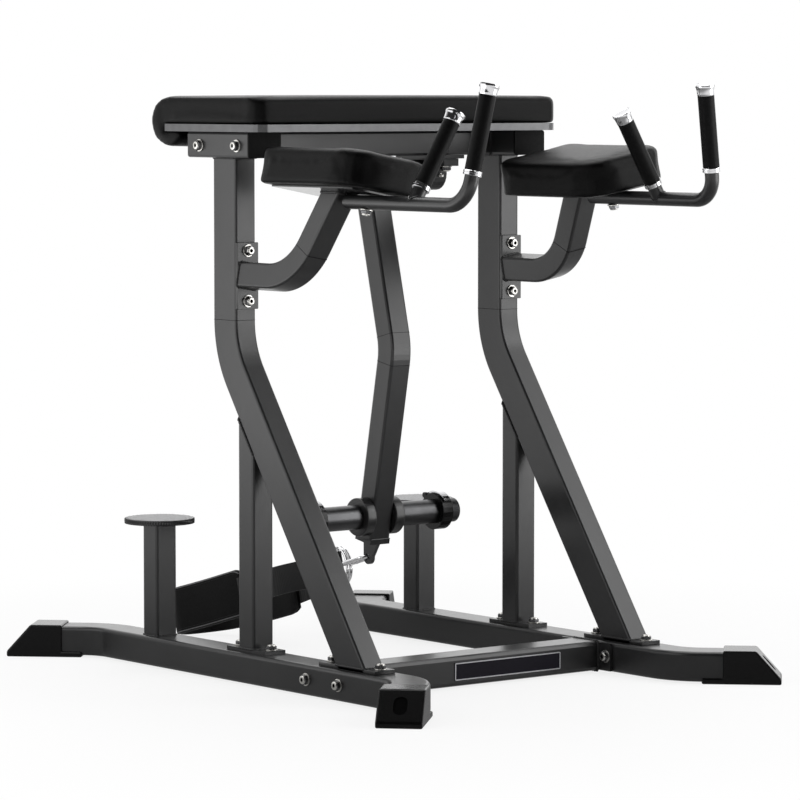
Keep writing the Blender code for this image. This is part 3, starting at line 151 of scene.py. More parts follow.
class Recipe:
    """A node material under construction, with short calls for the nodes that every finish uses."""

    def __init__(self, name, colour, roughness, metallic=0.0, ior=1.5, gloss=0.5):
        self.material = bpy.data.materials.new(name)
        self.material.use_nodes = True
        self.tree = self.material.node_tree
        self.shader = self.tree.nodes["Principled BSDF"]
        self.set("Base Color", (*shade(colour), 1))
        self.set("Roughness", roughness)
        self.set("Metallic", metallic)
        self.set("IOR", ior)
        self.set("Specular IOR Level", gloss)
        self.place = new_node(self.tree, "TexCoord").outputs["Object"]

    def set(self, socket, value):
        self.shader.inputs[socket].default_value = value

    def stretched(self, scale):
        """Object coordinates scaled apart along each axis, for brushed patterns."""
        return new_node(self.tree, "Mapping", {"Scale": scale, "Vector": self.place}).outputs["Vector"]

    def grain(self, scale, detail=3.0, vector=None):
        inputs = {"Scale": scale, "Detail": detail, "Vector": vector or self.place}
        return new_node(self.tree, "TexNoise", inputs).outputs["Fac"]

    def cells(self, scale, feature="F1"):
        inputs = {"Scale": scale, "Vector": self.place}
        if feature == "SMOOTH_F1":
            inputs["Smoothness"] = 0.4
        return new_node(self.tree, "TexVoronoi", inputs, feature=feature).outputs["Distance"]

    def waves(self, scale, direction):
        inputs = {"Scale": scale, "Vector": self.place}
        node = new_node(self.tree, "TexWave", inputs, wave_type="BANDS", bands_direction=direction)
        return node.outputs["Fac"]

    def ramp(self, factor, stops):
        """A colour ramp with two (position, colour) stops."""
        node = new_node(self.tree, "ValToRGB", {"Fac": factor})
        for element, (position, colour) in zip(node.color_ramp.elements, stops):
            element.position = position
            element.color = (*colour, 1)
        return node.outputs["Color"]

    def product(self, first, second):
        return new_node(self.tree, "Math", {0: first, 1: second}, operation="MULTIPLY").outputs["Value"]

    def colour(self, factor, low, high, start=0.3, end=0.7):
        """Colours the finish from one colour or grey level to another by a pattern."""
        seen = self.ramp(factor, [(start, shade(low)), (end, shade(high))])
        self.tree.links.new(seen, self.shader.inputs["Base Color"])

    def roughness(self, factor, low, high):
        """Lets a pattern move the roughness between low and high."""
        inputs = {"To Min": low, "To Max": high, "Value": factor}
        span = new_node(self.tree, "MapRange", inputs).outputs["Result"]
        self.tree.links.new(span, self.shader.inputs["Roughness"])

    def bump(self, height, distance, strength=1.0):
        """Adds a bump layer; later layers lie on top of earlier ones."""
        inputs = {"Strength": strength, "Distance": distance, "Height": height}
        normal = self.shader.inputs["Normal"]
        if normal.is_linked:
            inputs["Normal"] = normal.links[0].from_socket
        node = new_node(self.tree, "Bump", inputs)
        self.tree.links.new(node.outputs["Normal"], normal)


def powder_coat():
    """Charcoal satin powder coat with fine orange peel and faint cloudiness."""
    recipe = Recipe("powder_coat_satin", 0.016, 0.30)
    recipe.colour(recipe.grain(9.0, 2.0), 0.014, 0.019)
    recipe.roughness(recipe.grain(60.0, 4.0), 0.26, 0.34)
    recipe.bump(recipe.grain(900.0, 2.0), 0.00006, 0.5)
    recipe.bump(recipe.grain(2600.0, 1.0), 0.00003, 0.4)
    return recipe.material


def tread_coat_painted_reflection():
    """The coat on the step plates, worn smoother on its high points. Its colour is painted far lighter than
    the powder coat, as a painted reflection on the step tops.
    """
    recipe = Recipe("powder_coat_tread_painted_reflection", 0.20, 0.30, ior=1.6)
    # Light grey tones with a random grain: painted reflection on the tops
    recipe.colour(recipe.grain(260.0, 4.0), 0.12, 0.30)
    recipe.roughness(recipe.grain(300.0, 4.0), 0.24, 0.38)
    recipe.bump(recipe.grain(1200.0, 2.0), 0.0001, 0.5)
    return recipe.material


def weld_paint():
    """The same coat over a weld bead, thicker and duller."""
    recipe = Recipe("powder_coat_weld", 0.020, 0.42, gloss=0.30)
    recipe.bump(recipe.grain(700.0), 0.0003, 0.6)
    return recipe.material


def vinyl():
    """Black upholstery vinyl with a small leather grain."""
    recipe = Recipe("black_vinyl_grain", 0.002, 0.42, ior=1.42, gloss=0.11)
    creases = recipe.ramp(recipe.cells(620.0, "DISTANCE_TO_EDGE"), [(0.0, (0, 0, 0)), (0.12, (1, 1, 1))])
    recipe.colour(recipe.grain(420.0, 4.0), 0.001, 0.004, start=0.35)
    recipe.roughness(recipe.grain(240.0), 0.30, 0.40)
    recipe.bump(creases, 0.00012, 0.6)
    recipe.bump(recipe.cells(950.0, "SMOOTH_F1"), 0.00008, 0.4)
    recipe.bump(recipe.grain(26.0, 2.0), 0.0006, 0.25)
    return recipe.material


def board_paint():
    """Satin mid grey on the edge of the pad boards."""
    recipe = Recipe("grey_board_edge", 0.11, 0.36, metallic=0.6)
    recipe.colour(recipe.grain(60.0), 0.10, 0.12)
    recipe.roughness(recipe.grain(90.0), 0.32, 0.40)
    recipe.bump(recipe.grain(800.0, 2.0), 0.00005, 0.5)
    return recipe.material


def moulded_plastic(name, value, roughness, gloss):
    """Black moulded plastic with a spark-eroded grain."""
    recipe = Recipe(name, value, roughness, ior=1.45, gloss=gloss)
    recipe.colour(recipe.grain(140.0), value * 0.85, value * 1.25)
    recipe.roughness(recipe.grain(300.0), roughness - 0.04, roughness + 0.05)
    recipe.bump(recipe.cells(1400.0), 0.00003, 0.4)
    return recipe.material


def board_underside():
    """The smooth laminate under an elbow rest, which mirrors what lies low behind it."""
    recipe = Recipe("board_laminate", 0.010, 0.14)
    recipe.colour(recipe.grain(80.0), 0.008, 0.013)
    recipe.roughness(recipe.grain(120.0), 0.11, 0.18)
    recipe.bump(recipe.grain(500.0, 2.0), 0.00001, 0.3)
    return recipe.material


def deep_black():
    """Dull black that paints the shade in a foot cap's recess and in a bolt end's centre hole, and gives a
    seam its dark line.
    """
    recipe = Recipe("shade_and_seam_black", 0.002, 0.8, ior=1.3, gloss=0.05)
    recipe.colour(recipe.grain(200.0), 0.0015, 0.003)
    return recipe.material


def nut_steel():
    """The darker phosphated steel of the hex nuts, with a faint gloss on its flats."""
    recipe = Recipe("nut_dark_steel", 0.16, 0.30, metallic=1.0)
    recipe.colour(recipe.grain(300.0), 0.11, 0.22)
    recipe.roughness(recipe.grain(400.0), 0.22, 0.36)
    recipe.bump(recipe.grain(900.0, 2.0), 0.00005, 0.4)
    return recipe.material


def rubber_grip():
    """Black grip rubber with a close pebbled grain that is barely felt."""
    recipe = Recipe("grip_rubber", 0.003, 0.48, ior=1.45, gloss=0.12)
    recipe.colour(recipe.grain(200.0, 4.0), 0.002, 0.005)
    recipe.roughness(recipe.grain(500.0), 0.40, 0.56)
    recipe.bump(recipe.cells(1100.0), 0.0001, 0.5)
    return recipe.material


def chrome():
    """Polished chrome plate with faint wear in its gloss."""
    recipe = Recipe("polished_chrome", (0.62, 0.62, 0.63), 0.12, metallic=1.0)
    recipe.roughness(recipe.grain(160.0, 4.0), 0.09, 0.17)
    return recipe.material


def link_chrome():
    """The bright plating of the snap link and its rings, a little milky in its gloss."""
    recipe = Recipe("bright_link_plate", (0.88, 0.88, 0.89), 0.14, metallic=0.93)
    recipe.roughness(recipe.grain(200.0), 0.08, 0.18)
    recipe.bump(recipe.grain(600.0, 2.0), 0.00003, 0.3)
    return recipe.material


def zinc():
    """Bright zinc plate on the fasteners."""
    recipe = Recipe("zinc_plate", (0.62, 0.61, 0.58), 0.28, metallic=1.0)
    recipe.colour(recipe.grain(300.0), (0.52, 0.51, 0.48), (0.72, 0.71, 0.68))
    recipe.roughness(recipe.grain(400.0), 0.20, 0.38)
    recipe.bump(recipe.grain(900.0, 2.0), 0.00005, 0.4)
    return recipe.material


def turned_steel():
    """Dark satin steel with very fine marks round the bar."""
    recipe = Recipe("turned_dark_steel", 0.085, 0.34, metallic=1.0)
    recipe.colour(recipe.grain(30.0), 0.075, 0.095)
    recipe.roughness(recipe.grain(90.0), 0.32, 0.37)
    recipe.bump(recipe.grain(60.0, 4.0, recipe.stretched((40.0, 1.0, 1.0))), 0.00001, 0.3)
    return recipe.material


def cast_iron():
    """Painted casting of the pillow blocks."""
    recipe = Recipe("painted_casting", 0.022, 0.5)
    recipe.colour(recipe.grain(80.0, 4.0), 0.016, 0.030)
    recipe.bump(recipe.grain(420.0, 5.0), 0.0004, 0.6)
    return recipe.material


def anodised_field():
    """The name plate's blank field: dark, with a brushed grain along its length."""
    recipe = Recipe("plate_field", (0.007, 0.006, 0.010), 0.4, gloss=0.10)
    brushed = recipe.grain(90.0, 4.0, recipe.stretched((1.0, 30.0, 30.0)))
    recipe.colour(brushed, (0.005, 0.004, 0.008), (0.009, 0.008, 0.013))
    recipe.bump(brushed, 0.00004, 0.5)
    return recipe.material


def plate_rim():
    recipe = Recipe("plate_rim", (0.45, 0.45, 0.47), 0.35, metallic=0.6)
    recipe.roughness(recipe.grain(200.0), 0.28, 0.42)
    return recipe.material


def webbing_cloth():
    """Woven nylon with ribs across and a close weave."""
    recipe = Recipe("nylon_webbing", 0.016, 0.8, ior=1.4)
    weave = recipe.product(recipe.waves(190.0, "X"), recipe.waves(260.0, "DIAGONAL"))
    recipe.colour(weave, 0.009, 0.026, start=0.0, end=1.0)
    recipe.roughness(recipe.grain(300.0), 0.68, 0.9)
    recipe.bump(weave, 0.0003, 0.7)
    recipe.bump(recipe.grain(50.0, 2.0), 0.0006, 0.3)
    recipe.set("Sheen Weight", 0.15)
    recipe.set("Sheen Roughness", 0.5)
    return recipe.material


def cover_cloth():
    """Charcoal coated cloth on the outside of the ankle pad."""
    recipe = Recipe("strap_cover_cloth", 0.005, 0.6, ior=1.4, gloss=0.12)
    recipe.colour(recipe.grain(260.0, 4.0), 0.004, 0.007)
    recipe.roughness(recipe.grain(200.0), 0.50, 0.70)
    recipe.bump(recipe.product(recipe.waves(420.0, "X"), recipe.waves(420.0, "Z")), 0.0001, 0.5)
    recipe.bump(recipe.grain(60.0, 2.0), 0.0008, 0.3)
    return recipe.material


def piping_cord():
    recipe = Recipe("edge_binding", 0.090, 0.50, ior=1.45)
    recipe.bump(recipe.waves(900.0, "DIAGONAL"), 0.0001, 0.6)
    return recipe.material


def lining_cloth():
    """Soft black lining with a brushed nap."""
    recipe = Recipe("strap_lining", 0.006, 0.95, ior=1.35)
    recipe.colour(recipe.grain(500.0, 4.0), 0.003, 0.010)
    recipe.bump(recipe.grain(900.0, 4.0), 0.0005, 0.7)
    recipe.set("Sheen Weight", 0.1)
    return recipe.material


def thread():
    recipe = Recipe("black_thread", 0.02, 0.7, ior=1.4)
    recipe.bump(recipe.waves(2500.0, "DIAGONAL"), 0.0001, 0.6)
    return recipe.material


# Shapes

SHARP_ANGLE = math.radians(38)


def add_mesh(name, verts, faces, materials, smooth=True, face_material=None):
    """A mesh object with consistent outward normals."""
    mesh = bpy.data.meshes.new(name)
    mesh.from_pydata([tuple(v) for v in verts], [], faces)
    for material in materials:
        mesh.materials.append(material)
    if face_material:
        mesh.polygons.foreach_set("material_index", face_material)
    build = bmesh.new()
    build.from_mesh(mesh)
    bmesh.ops.recalc_face_normals(build, faces=build.faces)
    build.to_mesh(mesh)
    build.free()
    if smooth:
        mesh.shade_smooth()
        mesh.set_sharp_from_angle(angle=SHARP_ANGLE)
    piece = bpy.data.objects.new(name, mesh)
    bpy.context.scene.collection.objects.link(piece)
    return piece


def joined(shapes):
    """Joins (verts, faces) pairs into one pair."""
    verts = []
    faces = []
    for more_verts, more_faces in shapes:
        start = len(verts)
        verts += more_verts
        faces += [tuple(start + index for index in face) for face in more_faces]
    return verts, faces


def moved(shape, matrix):
    verts, faces = shape
    return [matrix @ v for v in verts], faces


def add_piece(name, shapes, finish, node=None, slot=None, body="frame"):
    """A visible piece made of shapes, which rides on a body.

    It may stand for a solid, which it then hides; a slot given to it is not used."""
    piece = add_mesh(name, *joined(shapes), [MATERIALS[finish]])
    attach(piece, body)
    if node:
        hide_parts(node)
        slot = slot or finish
    return piece


def arc(centre, radius, start, end, steps):
    """Points along an arc about a centre, whose ends are given in degrees."""
    angles = [math.radians(start + (end - start) * k / steps) for k in range(steps + 1)]
    return [(centre[0] + radius * math.cos(angle), centre[1] + radius * math.sin(angle)) for angle in angles]


def circle(radius, sides):
    return arc((0, 0), radius, 0, 360, sides)[:-1]


def rounded_outline(width, height, radius, steps=5):
    """A rectangle's outline with round corners, about its middle."""
    x = width / 2 - radius
    y = height / 2 - radius
    points = []
    for quarter, centre in enumerate(((x, y), (-x, y), (-x, -y), (x, -y))):
        points += arc(centre, radius, 90 * quarter, 90 * quarter + 90, steps)
    return points


def frame_towards(direction):
    """Two unit vectors at right angles to a direction and to each other."""
    across = direction.orthogonal().normalized()
    if abs(direction.x) < 0.9:
        across = (X_AXIS - direction * X_AXIS.dot(direction)).normalized()
    return across, direction.cross(across).normalized()


def ring_faces(first, second):
    """Faces between two rings of vertex numbers, where a ring of one is a tip."""
    faces = []
    for k in range(max(len(first), len(second))):
        steps = ((first, k), (second, k), (second, k + 1), (first, k + 1))
        faces.append(tuple(dict.fromkeys(ring[step % len(ring)] for ring, step in steps)))
    return faces


def row_faces(low, high, sides):
    """Faces between two closed rows of vertices, given by the number of each row's first vertex."""
    pairs = [(k, (k + 1) % sides) for k in range(sides)]
    return [(low + k, low + after, high + after, high + k) for k, after in pairs]


def turned(origin, direction, profile, sides=48):
    """A turned solid: profile is (along, radius) pairs from end to end."""
    direction = Vector(direction).normalized()
    across, up = frame_towards(direction)
    verts = []
    faces = []
    rings = []
    for along, radius in profile:
        middle = Vector(origin) + direction * along
        points = circle(radius, sides) if radius > 1e-6 else [(0, 0)]
        rings.append(range(len(verts), len(verts) + len(points)))
        verts += [middle + across * a + up * b for a, b in points]
    for first, second in zip(rings, rings[1:]):
        faces += ring_faces(first, second)
    faces += [tuple(ring) for ring in (rings[0], rings[-1]) if len(ring) > 1]
    return verts, faces


def softened(profile, radius, steps=3):
    """Rounds the convex corners of a turned profile with short arcs."""
    rounded = [profile[0]]
    for before, corner, after in zip(profile, profile[1:], profile[2:]):
        corner = Vector(corner)
        back = Vector(before) - corner
        ahead = Vector(after) - corner
        reach = min(radius, back.length * 0.45, ahead.length * 0.45)
        if reach < 1e-5 or corner.y < 1e-6:
            rounded.append(corner)
            continue
        start = corner + back.normalized() * reach
        end = corner + ahead.normalized() * reach
        for k in range(steps + 1):
            t = k / steps
            rounded.append(start * (1 - t) ** 2 + corner * 2 * t * (1 - t) + end * t ** 2)
    rounded.append(profile[-1])
    return rounded


def prism(origin, direction, outline, thickness, bevel, up):
    """A plate with the outline's corners, softened along both of its faces."""
    rise = (up - direction * up.dot(direction)).normalized()
    across = rise.cross(direction).normalized()
    outline = [Vector(point) for point in outline]
    centre = sum(outline, Vector((0, 0))) / len(outline)
    verts = []
    rings = []
    for along, inset in ((0, bevel), (bevel, 0), (thickness - bevel, 0), (thickness, bevel)):
        rings.append(range(len(verts), len(verts) + len(outline)))
        for corner in outline:
            point = corner - (corner - centre).normalized() * inset
            verts.append(Vector(origin) + direction * along + across * point.x + rise * point.y)
    faces = [tuple(rings[0]), tuple(rings[-1])]
    for first, second in zip(rings, rings[1:]):
        faces += ring_faces(first, second)
    return verts, faces


def ahead_at(path, index, closed=False):
    """The direction of travel at one point of a path."""
    if closed:
        return (path[(index + 1) % len(path)] - path[index - 1]).normalized()
    return (path[min(index + 1, len(path) - 1)] - path[max(index - 1, 0)]).normalized()


def swept(path, section, closed=False, up=None):
    """Sweeps a closed section of (across, up) points along a path, square to it.

    The section may be a function of the point's number. Without an up it follows the path's turns."""
    path = [Vector(point) for point in path]
    count = len(path)
    verts = []
    rise = up
    for index, here in enumerate(path):
        ahead = ahead_at(path, index, closed)
        if rise is None:
            rise = frame_towards(ahead)[1]
        square = (rise - ahead * rise.dot(ahead)).normalized()
        across = square.cross(ahead).normalized()
        shape = section(index) if callable(section) else section
        verts += [here + across * a + square * b for a, b in shape]
        if up is None:
            rise = square
    sides = len(verts) // count
    faces = []
    for ring in range(count if closed else count - 1):
        faces += row_faces(ring * sides, (ring + 1) % count * sides, sides)
    if not closed:
        faces.append(tuple(range(sides)))
        faces.append(tuple(range((count - 1) * sides, count * sides)))
    return verts, faces


def filleted(corners, radius, steps=14):
    """A polyline through these corners, with an arc of this radius at each inner corner."""
    corners = [Vector(corner) for corner in corners]
    points = [corners[0]]
    for before, corner, after in zip(corners, corners[1:], corners[2:]):
        back = (before - corner).normalized()
        ahead = (after - corner).normalized()
        angle = math.pi - back.angle(ahead)
        leg = radius * math.tan(angle / 2)
        middle = corner + (back + ahead).normalized() * radius / math.cos(angle / 2)
        first = corner + back * leg - middle
        axis = first.cross(corner + ahead * leg - middle).normalized()
        for step in range(steps + 1):
            points.append(middle + Matrix.Rotation(angle * step / steps, 3, axis) @ first)
    points.append(corners[-1])
    return points


def evenly(points, spacing, closed=True):
    """Points at an even spacing along a polyline."""
    points = [Vector(point) for point in points]
    if closed:
        points.append(points[0])
    lengths = [(b - a).length for a, b in zip(points, points[1:])]
    total = sum(lengths)
    count = max(4, round(total / spacing))
    placed = []
    walked = 0.0
    leg = 0
    for k in range(count if closed else count + 1):
        target = total * k / count
        while leg < len(lengths) - 1 and walked + lengths[leg] < target:
            walked += lengths[leg]
            leg += 1
        share = (target - walked) / max(lengths[leg], 1e-9)
        placed.append(points[leg].lerp(points[leg + 1], min(1.0, share)))
    return placed


# Frames of the parts that stand askew


def elbow_matrix(side):
    """The frame of one elbow rest, which leans inward about the middle of its flange."""
    lean = Matrix.Rotation(-side * ELBOW_LEAN, 4, "Y")
    return Matrix.Translation((side * RAIL_X, POST_FRONT_Y, ELBOW_Z)) @ lean


def splay(side, end):
    """The direction in which a foot points outward from its rail."""
    return Vector((side * math.sin(CAP_SPLAY), end * math.cos(CAP_SPLAY), 0))


def cap_matrix(side, end):
    """The frame of a foot cap's sloped face, with +X up the slope and +Z out of it."""
    out = splay(side, end)
    tip = Vector((side * RAIL_X, end * RAIL_BEND_Y, 0)) + out * CAP_REACH
    foot = Vector((0, 0, CAP_LIP))
    head = Vector((CAP_FLAT_END - CAP_LENGTH, 0, CAP_TOP))
    slope = (head - foot).normalized()
    normal = Vector((slope.z, 0, -slope.x))
    local = Matrix((slope, -Y_AXIS, normal)).transposed().to_4x4()
    local.translation = (foot + head) / 2
    return Matrix.Translation(tip) @ Matrix.Rotation(math.atan2(out.y, out.x), 4, "Z") @ local


# Fasteners and foot caps

NUT_FLATS = 0.0184
NUT_HEIGHT = 0.0066
WASHER_RADIUS = 0.0125
NUT_CHAMFER = 0.0010
WASHER_HEIGHT = 0.0022
WASHER_EDGE = 0.0005
PLATE_NUT_Y = (-0.4127, -0.2636, -0.0636, 0.0383)
CROSSBAR_NUT_Z = 0.035
CROSSBAR_NUT_HALF = 0.051
CROSSBAR_INNER_HALF = 0.062
BRACKET_NUT_Y = (0.1184, -0.006)
FLANGE_NUT_HALF = 0.050
BEARING_BOLT_HALF = 0.0525
BEARING_BOLT_Z = 1.0207
REST_BOLT = Vector((0, -0.356, BAR_Z - 0.0138))

# Turned profiles of (along, radius), measured from the top of the nut
BOLT_END = (
    (-0.0005, 0), (-0.0005, 0.0084), (0.0006, 0.0084), (0.0020, 0.0078),
    (0.0026, 0.0066), (0.0026, 0.0040), (0.0012, 0.0036), (0.0012, 0),
)
# A thin black disc in the bolt end's dish, painting the shade of its centre hole
BOLT_HOLE_SHADE = ((0.0011, 0), (0.0011, 0.0035), (0.0016, 0.0035), (0.0016, 0))


def lock_nut(at, direction, spin):
    """A bright washer and bolt end, a dark hex nut, and a black disc that paints the shade of the end's
    centre hole, one shape each.
    """
    seat = Vector(at) + direction * WASHER_HEIGHT
    top = seat + direction * NUT_HEIGHT
    rim = [(0, 0), (0, WASHER_RADIUS), (WASHER_HEIGHT, WASHER_RADIUS), (WASHER_HEIGHT, 0)]
    washer = turned(at, direction, softened(rim, WASHER_EDGE), 32)
    up = Matrix.Rotation(spin, 3, direction) @ frame_towards(direction)[1]
    hexagon = circle(NUT_FLATS / math.sqrt(3), 6)
    nut = prism(seat, direction, hexagon, NUT_HEIGHT, NUT_CHAMFER, up)
    bright = joined([washer, turned(top, direction, BOLT_END, 28)])
    return bright, nut, turned(top, direction, BOLT_HOLE_SHADE, 20)


def fasteners(name, places):
    """All the nuts of one joint as a single piece. Each place is (point, direction)."""
    rng = random.Random(name)
    shapes = []
    finish = []
    for at, direction in places:
        for index, shape in enumerate(lock_nut(at, direction, rng.uniform(0, 1.0))):
            shapes.append(shape)
            finish += [index] * len(shape[1])
    # The third finish is the black that paints shade in the bolt ends' centres.
    metals = [MATERIALS[metal] for metal in ("zinc", "nut", "shade_and_seam_black")]
    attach(add_mesh(name, *joined(shapes), metals, face_material=finish), "frame")


def pair(middle, spread, direction):
    """Two nuts, the same way off their middle on both sides."""
    return [(Vector(middle) + Vector(spread) * end, direction) for end in ENDS]


def add_fasteners(word, side):
    x = side * RAIL_X
    out = X_AXIS * side
    outer = (x + side * RAIL_WIDTH / 2, CROSSBAR_Y, CROSSBAR_NUT_Z)
    inner = (side * RAIL_INNER_X, CROSSBAR_Y, CROSSBAR_NUT_Z)
    crossbar = pair(outer, (0, CROSSBAR_NUT_HALF, 0), out) + pair(inner, (0, CROSSBAR_INNER_HALF, 0), -out)
    half = side * BRACKET_WIDTH / 2
    bracket = [((x + half, y, BRACKET_NUT_Z), out) for y in BRACKET_NUT_Y]
    bracket.append(((x - half, BRACKET_NUT_Y[0], BRACKET_NUT_Z), -out))
    flange = (x, POST_FRONT_Y - FLANGE_FACE, ELBOW_Z)
    bearing = (side * BEARING_X, TOWER_Y, BEARING_BOLT_Z)
    elbow = elbow_matrix(side)
    fasteners("base_plate_nuts_" + word, [((x, y, PLATE_TOP), Z_AXIS) for y in PLATE_NUT_Y])
    fasteners("crossbar_nuts_" + word, crossbar)
    fasteners("bracket_nuts_" + word, bracket)
    fasteners("elbow_flange_nuts_" + word, pair(flange, (0, 0, FLANGE_NUT_HALF), -Y_AXIS))
    fasteners("bearing_bolts_" + word, pair(bearing, (0, BEARING_BOLT_HALF, 0), -Z_AXIS))
    fasteners("rest_bolt_" + word, [(elbow @ REST_BOLT, elbow.to_3x3() @ -Z_AXIS)])


def add_cap_recess_shade():
    """A black disc of painted shade at the bottom of the oval recess in each foot cap's sloped face."""
    outline = rounded_outline(CAP_OVAL_LENGTH, CAP_OVAL_WIDTH, CAP_OVAL_WIDTH / 2 - FIT, 10)
    bottom = (0, 0, -CAP_OVAL_DEPTH - CAP_SHADE_SINK)
    # The plug is no real part: it is a thin black disc that paints the recess's shade.
    plug = prism(bottom, Z_AXIS, outline, CAP_SHADE_HEIGHT, FINE_BEVEL, Y_AXIS)
    places = [cap_matrix(side, end) for _, side in SIDES for end in ENDS]
    add_piece("foot_cap_recess_shade", [moved(plug, place) for place in places], "shade_and_seam_black")


# Upholstery

COVER_EASE = 0.0006
COVER_REACH = 0.0016
COVER_GRIP = 0.0002
COVER_FULLNESS = 0.0014
CONTACT_GAP = 0.002
COVER_SMOOTHING = 0.35
TABLE_VOXEL = 0.0055
REST_VOXEL = 0.0045
CUSHION_NOSE = 0.0045
CUSHION_NOSE_Y = 0.228
CUSHION_NOSE_RAMP = 0.03
COVER_SETTINGS = {
    "quality": 6,
    "mass": 0.4,
    "tension_stiffness": 18,
    "compression_stiffness": 18,
    "shear_stiffness": 8,
    "bending_stiffness": 1.5,
    "vertex_group_mass": "held",
    "use_pressure": True,
    "uniform_pressure_force": 4,
}


def stuffed(name, node, voxel, contact, nose=0.0):
    """A cushion blown up like cloth over foam from its solid.

    contact tells whether a point lies on the board, where the cover is held flat. nose is how far the
    rolled rear end stands out beyond the solid's."""
    piece = bpy.data.objects.new(name, NODES[node].data.copy())
    bpy.context.scene.collection.objects.link(piece)
    piece.data.materials.clear()
    remesh = piece.modifiers.new("even", "REMESH")
    remesh.mode = "VOXEL"
    remesh.voxel_size = voxel
    apply_modifiers(piece)
    rest = [v.co.copy() for v in piece.data.vertices]
    normals = [v.normal.copy() for v in piece.data.vertices]
    held = [contact(point) for point in rest]
    for vertex, normal, fixed in zip(piece.data.vertices, normals, held):
        if not fixed:
            vertex.co -= normal * COVER_EASE
    blow_up(piece, held)
    for vertex, point, fixed in zip(piece.data.vertices, rest, held):
        shift = vertex.co - point
        limit = COVER_GRIP if fixed else COVER_REACH
        if shift.length > limit:
            vertex.co = point + shift.normalized() * limit
    smooth_out(piece)
    piece.data.update()
    normals = [v.normal.copy() for v in piece.data.vertices]
    for vertex, normal, point, fixed in zip(piece.data.vertices, normals, rest, held):
        if not fixed:
            vertex.co += normal * COVER_FULLNESS
            vertex.co.y += nose * min(1.0, max(0.0, (point.y - CUSHION_NOSE_Y) / CUSHION_NOSE_RAMP))
    finer = piece.modifiers.new("finer", "SUBSURF")
    finer.levels = 1
    finer.render_levels = 1
    piece.data.materials.append(MATERIALS["black_vinyl"])
    piece.data.shade_smooth()
    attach(piece, "frame")
    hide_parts(node)


def blow_up(piece, held):
    """Lets the cover settle under pressure from inside, with its contact face pinned."""
    pins = piece.vertex_groups.new(name="held")
    pins.add([index for index, fixed in enumerate(held) if fixed], 1.0, "REPLACE")
    cloth = piece.modifiers.new("cover", "CLOTH")
    for setting, value in COVER_SETTINGS.items():
        setattr(cloth.settings, setting, value)
    cloth.settings.effector_weights.gravity = 0
    cloth.collision_settings.use_collision = False
    for frame_number in range(1, 21):
        bpy.context.scene.frame_set(frame_number)
    apply_modifiers(piece)
    bpy.context.scene.frame_set(1)


def apply_modifiers(piece):
    graph = bpy.context.evaluated_depsgraph_get()
    mesh = bpy.data.meshes.new_from_object(piece.evaluated_get(graph))
    piece.modifiers.clear()
    piece.data = mesh


def smooth_out(piece):
    """Two light rounds of smoothing over the whole cover."""
    build = bmesh.new()
    build.from_mesh(piece.data)
    axes = {"use_axis_x": True, "use_axis_y": True, "use_axis_z": True}
    for _ in range(2):
        bmesh.ops.smooth_vert(build, verts=build.verts, factor=COVER_SMOOTHING, **axes)
    build.to_mesh(piece.data)
    build.free()


def add_cushions():
    board_low, board_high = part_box("table_board")

    def on_table_board(point):
        gap = min(abs(point.z - board_high.z), abs(point.z - board_low.z))
        return gap < CONTACT_GAP and point.y < board_high.y

    stuffed("table_cushion_cover", "table_cushion", TABLE_VOXEL, on_table_board, CUSHION_NOSE)
    for word, side in SIDES:
        into = elbow_matrix(side).inverted()

        def on_rest_board(point, into=into):
            return (into @ point).z < REST_BOARD_TOP + CONTACT_GAP

        stuffed("elbow_cushion_cover_" + word, "elbow_cushion_" + word, REST_VOXEL, on_rest_board)


# Stage

WORLD_REACH = (0.0, 1.0)
WORLD_FRONT = 0.03
WORLD_BACK = 1.5
WORLD_AMBIENT = 0.18
FLOOR_HALF = 30.0
FLOOR_COLOUR = (0.86, 0.86, 0.86, 1)
FLOOR_WHITE = (0.82, 1.0)
FLOOR_FADE = (0.7, 1.8)
FLOOR_GLOSS = (0.35, 1.15)
FLOOR_GLOSS_FADE = (1.2, 3.0)


def area_lamp(name, at, facing, size, strength):
    """A soft area lamp standing at a place and shining towards another."""
    lamp = bpy.data.lights.new(name, "AREA")
    lamp.shape = "RECTANGLE"
    lamp.size, lamp.size_y = size
    lamp.energy = strength
    card = bpy.data.objects.new(name, lamp)
    bpy.context.scene.collection.objects.link(card)
    card.location = at
    card.rotation_euler = (Vector(facing) - Vector(at)).to_track_quat("-Z", "Y").to_euler()


def add_camera():
    data = bpy.data.cameras.new("camera")
    data.lens = CAMERA_LENS
    data.sensor_width = 36
    data.sensor_fit = "HORIZONTAL"
    data.shift_x = CAMERA_SHIFT
    data.clip_end = 100
    camera = bpy.data.objects.new("camera", data)
    bpy.context.scene.collection.objects.link(camera)
    camera.location = CAMERA_AT
    camera.rotation_euler = (math.radians(90) - CAMERA_PITCH, 0, -CAMERA_TURN)
    bpy.context.scene.camera = camera
    bpy.context.scene.view_settings.view_transform = "Standard"


def smooth_span(tree, value, reach, levels):
    """Maps a value from one range to another with a soft start and end."""
    inputs = {"From Min": reach[0], "From Max": reach[1], "To Min": levels[0], "To Max": levels[1]}
    inputs["Value"] = value
    return new_node(tree, "MapRange", inputs, interpolation_type="SMOOTHSTEP").outputs["Result"]


def mixed(tree, factor, first, second):
    """A mix of two shaders, all of the first at 0 and all of the second at 1."""
    return new_node(tree, "MixShader", {"Fac": factor, 1: first, 2: second}).outputs["Shader"]


